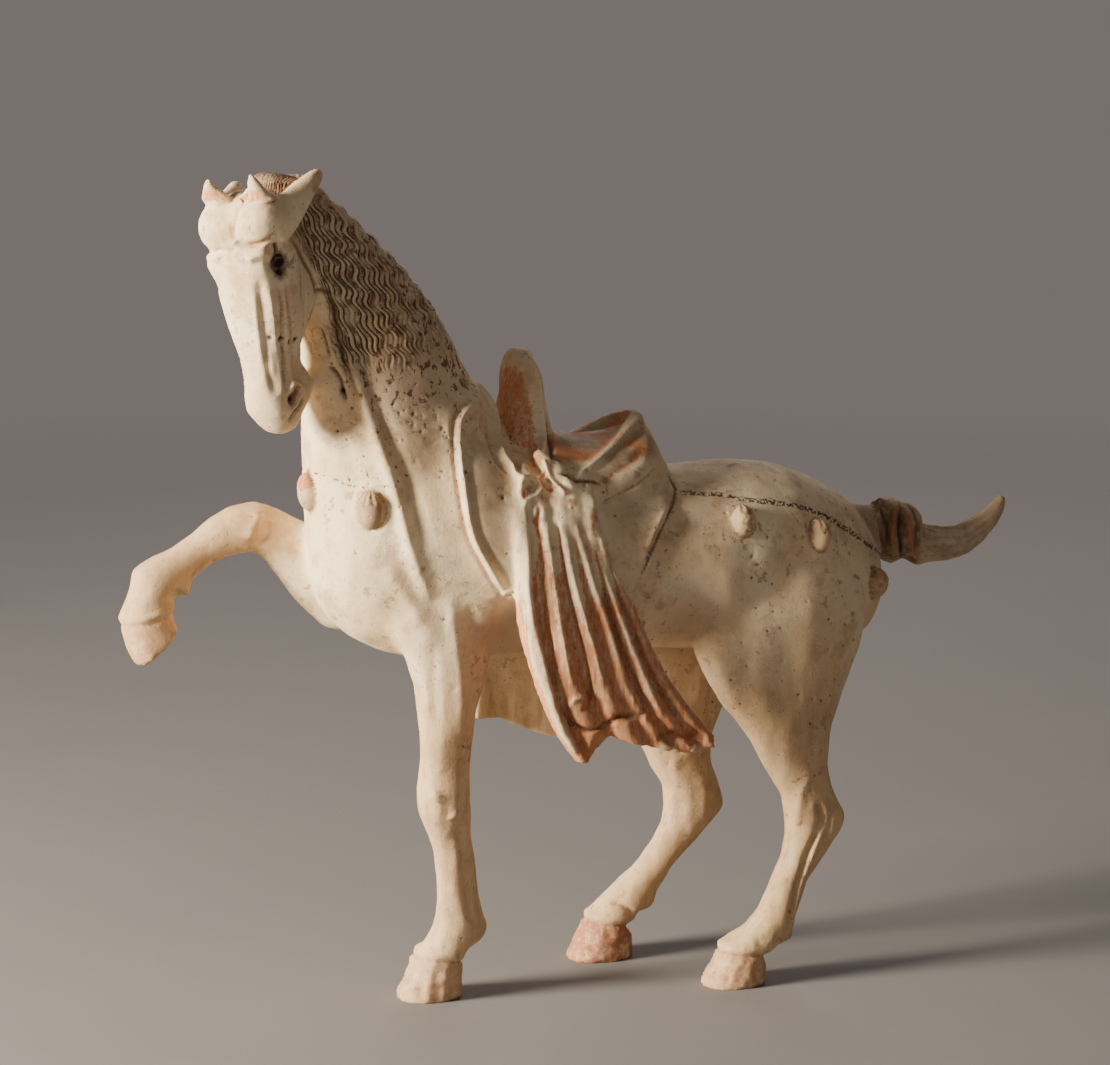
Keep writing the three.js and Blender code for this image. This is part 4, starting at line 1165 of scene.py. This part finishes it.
marks["warm"] = np.maximum(0.9 - 0.9 * rise(z, 150, 250), raised_leg)
print("leg strokes:", len(LEG_STROKES), "pushes:", len(LEG_PUSHES))

# %% [markdown]
# Pendants hang from the straps. Each is a small sack of clay, gathered and pinched at the top, so its upper
# half gets short radiating grooves.

# %% Pendants
SACK_FOLDS = 12
BLEND_END = 1.65
# Place on the skin, half the width, half the height, depth, redness of the cap, dirt on the body
SACKS = [
    ((-162, -50, 316), 8.8, 11.6, 7.0, 0.3, 1.0), ((-186, -4, 322), 8.5, 12.0, 7.0, 0.85, 0.1),
    ((80.5, -62, 300.5), 8.2, 10.6, 8.5, 0.1, 0.0), ((137, -58, 286), 7.0, 10.4, 9.0, 0.1, 0.0),
    ((188, -41, 248), 7.0, 10.0, 9.0, 0.6, 0.5), ((-162, 50, 316), 8.8, 11.6, 7.0, 0.15, 0.3),
    ((80.5, 62, 300.5), 8.2, 10.6, 8.5, 0.1, 0.0), ((137, 58, 286), 7.0, 10.4, 9.0, 0.1, 0.0),
    ((188, 41, 248), 7.0, 10.0, 9.0, 0.5, 0.4),
]


def sack(place, wide, tall, deep, redness, dirt):
    close = np.nonzero(np.linalg.norm(points - place, axis=1) < 2.6 * tall)[0]
    out = normals[close].mean(axis=0)
    out /= np.linalg.norm(out)
    up = np.array([0, 0, 1]) - out * out[2]
    up /= np.linalg.norm(up)
    off = points[close] - place
    close, off = (part[np.abs(off @ out) < 14] for part in (close, off))
    u, v, level = off @ np.cross(up, out), off @ up, off @ out
    r = np.hypot(u / wide, v / tall)
    table = np.stack([np.ones_like(u), u, v, u * u, v * v, u * v], axis=1)
    ring = (r > BLEND_END) & (r < 2.4)
    ground = table @ np.linalg.lstsq(table[ring], level[ring], rcond=None)[0]
    folds = np.cos(SACK_FOLDS * np.arctan2(u, 1.15 * tall - v))
    cap = rise(v / tall - 0.12 * folds, 0.05, 0.25) * (r < 1)
    swell = deep * np.clip(1 - r * r, 0, 1) ** 0.55 + cap * (0.5 + 0.5 * folds)
    blend = 1 - rise(r, 1.25, BLEND_END)
    shift[close] += out * (blend * (ground + swell - level))[:, None]
    height[close] *= 1 - blend
    mark("grime", 0.6 * cap * rise(-folds, 0.2, 1.0) + 0.55 * hump(r, 1.04, 0.09), close)
    mark("seat", np.maximum(0.4 * cap, dirt * (r < 1)), close)
    mark("warm", 0.7 - 0.7 * rise(r, 1.0, 1.15), close)
    marks["slip"][close] *= rise(r, 1.0, 1.15)
    mark("pigment", redness * cap, close)


for sizes in SACKS:
    sack(*sizes)
print("pendants:", len(SACKS))

# %% [markdown]
# Soft dark clouds, partly earth stains and partly painted shade, darken the places that stay sheltered and in
# shade: behind the mane, on the panels of the cloth, in the hollow of the flank and round the root of the
# tail.
# They are soft clouds, and alike on both sides.

# %% Earth stains and painted shade
# Place, size and strength of each dark cloud: partly stain, and mostly painted shade on the panels, flank,
# belly and cloths.
STAINS_AND_SHADE = [
    ((-128, -42, 386), (34, 34, 24), 0.75), ((-112, -48, 350), (16, 20, 30), 0.4),
    ((-84, -52, 325), (16, 22, 40), 0.6), ((12, -56, 305), (26, 26, 34), 0.5),
    ((50, -58, 232), (28, 26, 28), 0.8), ((-84, -48, 238), (24, 26, 18), 0.9),
    ((-202, -50, 452), (9, 12, 24), 0.45), ((182, -22, 272), (28, 34, 34), 0.5),
    ((122, -62, 190), (22, 22, 44), 0.6), ((90, -6, 336), (80, 34, 12), 0.5),
    ((0, 0, 205), (90, 46, 16), 0.6), ((-20, 82, 170), (60, 20, 60), 0.3),
    ((-85, -8, 150), (12, 16, 70), 0.35), ((120, -50, 60), (14, 18, 50), 0.3),
    ((-252, 38, 266), (30, 20, 17), 0.5), ((-22, -80, 240), (26, 14, 62), 0.5),
]
# Each cloud is laid on as partly an earth stain and partly painted shade.
marks["stain_and_shade"] = np.zeros(len(points))
for place, radii, amount in STAINS_AND_SHADE:
    mark("stain_and_shade", amount * cloud(place, radii))
    mark("stain_and_shade", amount * cloud(np.array(place) * [1, -1, 1], radii))
print("stains:", len(STAINS_AND_SHADE))

# %% [markdown]
# Last come the marks of age: the unevenness of a hand-finished surface, and pits where grains of lime burst
# or slip flaked away. They are scattered with a fixed seed, more of them below the mane and on the flanks.

# %% Unevenness and pits
plain = 1 - np.maximum.reduce([mane * combed, marks["cloth"], marks["seat"]])
on_legs = 1 - rise(points[:, 2], 150, 230)
height += plain * (0.36 * grain(points, 13, 51) + 0.17 * grain(points, 5, 52) + 0.09 * grain(points, 2.4, 53))
height += on_legs * 0.45 * grain(points * [1, 1, 0.22], 5, 54)
PIT_COUNT = 760
rng = np.random.default_rng(7)
small_squares = np.maximum.reduce([mane, on_head(points), marks["cloth"]]) > 0.3
below_mane = inside(z, 330, 405, 12) * inside(x, -172, -88, 8)
on_rump = inside(x, 30, 180, 20) * inside(z, 150, 300, 20)
likely = (0.2 + 2.6 * below_mane + 0.5 * on_rump) * (z > 12)
likely = likely * (1 - 0.8 * marks["cloth"]) * np.where(small_squares, 0.42, 1.0)
for index in rng.choice(len(points), PIT_COUNT, replace=False, p=likely / likely.sum()):
    radius = 0.45 + 0.7 * rng.random() ** 2
    close = np.nonzero(np.all(np.abs(points - points[index]) < 3 * radius, axis=1))[0]
    fall = cloud(points[index], radius, close)
    height[close] -= (0.4 + 0.6 * radius) * fall
    mark("grime", (0.3 + rng.random()) * fall, close)
print("pits:", PIT_COUNT)

# %% [markdown]
# Now the heights are applied along the normals, and the marks are stored on the mesh. Nothing may grow past
# the box of the solid, so the points are held just inside it. The Decimate modifier then takes points out
# where the surface is nearly flat, which keeps the locks and folds sharp and the mesh small.

# %% Apply the relief and thin the mesh
MOST_TRIANGLES = 190000
SKIN_MARGIN = 0.02


def apply_relief(mesh):
    low = np.array(cad_box[0]) / MM + DRAWN_FROM + SKIN_MARGIN * np.array([1, 1, 0])
    high = np.array(cad_box[1]) / MM + DRAWN_FROM - SKIN_MARGIN
    moved = points + shift + normals * (height * rise(points[:, 2], 0.0, 2.0))[:, None]
    moved = relaxed(moved, neighbours, np.full(len(moved), 0.25), 1)
    moved[points[:, 2] < SOLE_MM, 2] = 0
    write_points(mesh, np.clip(moved, low, high))
    for name, values in marks.items():
        layer = mesh.attributes.new(name, "FLOAT", "POINT")
        layer.data.foreach_set("value", values.astype(np.float32))


apply_relief(skin)
horse = bpy.data.objects.new("horse_skin", skin)
triangles = sum(len(face.vertices) - 2 for face in skin.polygons)
thin = horse.modifiers.new("thin", "DECIMATE")
thin.ratio = MOST_TRIANGLES / triangles
skin = applied(horse)
skin.polygons.foreach_set("use_smooth", [True] * len(skin.polygons))
skin.update()
horse = bpy.data.objects.new("horse_skin", skin)
bpy.context.scene.collection.objects.link(horse)
print("triangles:", triangles, "thinned to", len(skin.polygons), "marks:", sorted(marks))

# %% [markdown]
# The finish follows the making: fired clay, pale slip over it, paint over that, then a thousand years and
# more of dirt, with some painted shade among the stains and veils. Each layer is a colour laid over the last,
# as thickly as a mark broken up by noise says.

# %% Colours
CREAM = (0.76, 0.56, 0.335)
PALE_SLIP = (0.89, 0.735, 0.49)
BUFF = (0.50, 0.315, 0.175)
# The earth colour is used for flaked slip and for the stains, which are partly painted shade.
EARTH_AND_SHADE = (0.35, 0.22, 0.135)
WARM = (0.62, 0.40, 0.20)
BROWN = (0.16, 0.078, 0.036)
SOOT = (0.030, 0.015, 0.009)
ORANGE = (0.58, 0.185, 0.07)
DARK_RED = (0.40, 0.095, 0.042)
HOLLOW_RED = (0.16, 0.050, 0.027)
ROSE = (0.42, 0.155, 0.09)
# The brown veil is partly painted shade on the seat and the tail, where the pommel and the rump keep the
# light off.
VEILS_AND_SHADE = {"hair": 0.36, "seat": 0.5, "band": 0.35, "tail": 0.5}
print("veils of brown over:", sorted(VEILS_AND_SHADE))

# %% [markdown]
# The ground colour drifts between cream and pale slip. Over it come warm clay on the legs, clustered flakes
# where the slip is gone, stains that are partly painted shade, runs of washed dirt, and a brown veil on the
# hair, the seat and the tail, which on the seat and the tail is partly painted shade.

# %% Clay and slip


def fired_and_slipped(finish):
    """The clay with its slip, where it flaked, what the ground left on it, and painted shade."""
    mask, ramp, noise, times = finish.mask, finish.ramp, finish.noise, finish.times
    clouds = noise(46, detail=5)
    mottle = noise(11, detail=5, roughness=0.65)
    specks = noise(4.5, detail=6, roughness=0.75)
    finish.colour = finish.mixed(ramp(clouds, 0.36, 0.64), CREAM, PALE_SLIP)
    finish.cover(WARM, mask("warm"), 0.8)
    finish.cover(BUFF, ramp(mottle, 0.5, 0.7), 0.3)
    clusters = ramp(noise(34, detail=4), 0.48, 0.60)
    flakes = noise(8, detail=8, roughness=0.68)
    flaked = times(ramp(flakes, 0.575, 0.592), finish.add(clusters, 0.15), 0.62)
    finish.cover(EARTH_AND_SHADE, flaked)
    finish.cover(BUFF, ramp(noise(26, detail=7, roughness=0.68), 0.50, 0.64), 0.55)
    finish.cover(PALE_SLIP, ramp(specks, 0.40, 0.37), ramp(clouds, 0.40, 0.6), 0.55)

    washed = noise(7, detail=6, roughness=0.7, stretch=(1, 1, 0.2))
    finish.cover(BUFF, mask("warm"), ramp(washed, 0.49, 0.60), 0.6)
    # Stains, partly painted shade that darkens the sheltered places.
    finish.cover(EARTH_AND_SHADE, mask("stain_and_shade"), ramp(clouds, 0.3, 0.65, 0.45, 0.8))
    # The brown veil, which on the seat and the tail is partly painted shade.
    veil_and_shade = finish.add(*(times(mask(name), amount) for name, amount in VEILS_AND_SHADE.items()))
    finish.cover(BROWN, veil_and_shade, ramp(mottle, 0.25, 0.6, 0.6, 1.1))
    return mottle, specks, flakes, flaked


print("clay:", BUFF, "slip:", PALE_SLIP)

# %% [markdown]
# The red was brushed on and has worn off in streaks along the cloth, and in patches elsewhere. In the mane
# each combed line is dark, and old red fills the hollows between two pairs of lines.

# %% Paint and the combed mane


def painted(finish, fine):
    """Horn, thin places in the slip and the red paint, which wears in streaks on the cloth."""
    mask, ramp, noise, times = finish.mask, finish.ramp, finish.noise, finish.times
    finish.cover(PALE_SLIP, mask("slip"), ramp(fine, 0.35, 0.55), 0.6)
    finish.cover(ROSE, mask("horn"), ramp(noise(6, detail=5, roughness=0.7), 0.34, 0.55), 0.9)
    streaks = noise(1.8, detail=4, roughness=0.7, stretch=(1, 1, 0.14))
    patches = noise(5.5, detail=6, roughness=0.7)
    rubbed = noise(2.2, detail=5, roughness=0.7)
    along = finish.add(rubbed, times(mask("cloth"), finish.less(streaks, rubbed)))
    wear = times(finish.add(along, patches), 1.1)
    paint = finish.less(finish.add(mask("pigment"), wear), times(mask("slip"), 0.35))
    red = finish.mixed(ramp(patches, 0.32, 0.50), DARK_RED, ORANGE)
    finish.cover(red, ramp(paint, 1.50, 1.85), ramp(mask("pigment"), 0.05, 0.25),
                 ramp(streaks, 0.36, 0.62, 0.4, 0.88))


def combed_mane(finish, specks):
    """Dark lines beside each ridge of the mane, red in the hollows between pairs, and red chips below."""
    mask, ramp, noise, times = finish.mask, finish.ramp, finish.noise, finish.times
    strand = finish.maths("DIVIDE", mask("strand"), LOCK_MM)
    off = finish.maths("ABSOLUTE", finish.less(strand, finish.maths("ROUND", strand)))
    off = times(off, LOCK_MM)
    line = times(mask("mane"), ramp(finish.maths("ABSOLUTE", finish.less(off, GROOVE_AT)), 0.75, 0.25))
    between = ramp(off, GROOVE_AT + 0.3, GROOVE_AT + 1.2)
    blotches = ramp(noise(6.0, detail=5, roughness=0.72), 0.42, 0.56, 0.05, 1.0)
    finish.cover(HOLLOW_RED, mask("mane"), between, blotches, 0.9)
    finish.cover(SOOT, line, ramp(specks, 0.34, 0.46), 0.9)
    chips = noise(4.4, detail=4, roughness=0.62, stretch=(1, 1, 0.7))
    chips = finish.add(chips, times(mask("dashes"), 0.10))
    finish.cover(HOLLOW_RED, ramp(chips, 0.625, 0.655), ramp(mask("dashes"), 0.05, 0.3), 0.85)
    return line


print("combed lines every", LOCK_MM, "mm")

# %% [markdown]
# Dirt sits in every hollow that the strokes made. Ink lines break up into crumbs, and small pits are cells of
# scattered points of which only some are dark. The same masks make the finest relief, as a bump.

# %% Dirt, pits and the whole finish


def dirt_and_pits(finish, fine):
    mask, ramp, times = finish.mask, finish.ramp, finish.times
    grime = mask("grime")
    dirt = finish.add(grime, times(finish.less(fine, 0.5), 1.2))
    finish.cover(BROWN, ramp(dirt, 0.15, 0.8), ramp(grime, 0.04, 0.2), 0.75)
    finish.cover(SOOT, ramp(grime, 0.75, 1.15))
    finish.cover(SOOT, ramp(mask("ink"), 0.25, 0.55), ramp(finish.noise(2.0, detail=2), 0.46, 0.54), 0.88)
    gap, chance = finish.cells(4.2)
    pit = times(ramp(gap, 0.15, 0.07), ramp(chance, 0.74, 0.8))
    gap, chance = finish.cells(1.9)
    speck = times(ramp(gap, 0.24, 0.12), ramp(chance, 0.82, 0.88), 0.6)
    flaws = finish.maths("MAXIMUM", pit, speck)
    finish.cover(BROWN, flaws, 0.7)
    return flaws


def clay_finish():
    finish = Finish("clay_skin")
    fine = finish.noise(1.7, detail=4, roughness=0.7)
    mottle, specks, flakes, flaked = fired_and_slipped(finish)
    painted(finish, fine)
    line = combed_mane(finish, specks)
    flaws = dirt_and_pits(finish, fine)
    finish.put(finish.shader.inputs["Base Color"], finish.colour)
    finish.put(finish.shader.inputs["Roughness"], finish.ramp(mottle, 0.3, 0.7, 0.70, 0.88))
    finish.shader.inputs["Specular IOR Level"].default_value = 0.3
    raised = finish.add(finish.times(fine, 0.6), finish.times(flakes, 0.8))
    sunk = finish.add(finish.times(flaws, 0.8), finish.times(line, 0.9), finish.times(flaked, 0.35))
    finish.bump(finish.less(raised, sunk), 0.55, 0.7)
    return finish.material


skin.materials.clear()
skin.materials.append(clay_finish())
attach(horse, "root")
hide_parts(NODE)
print("finish:", skin.materials[0].name)
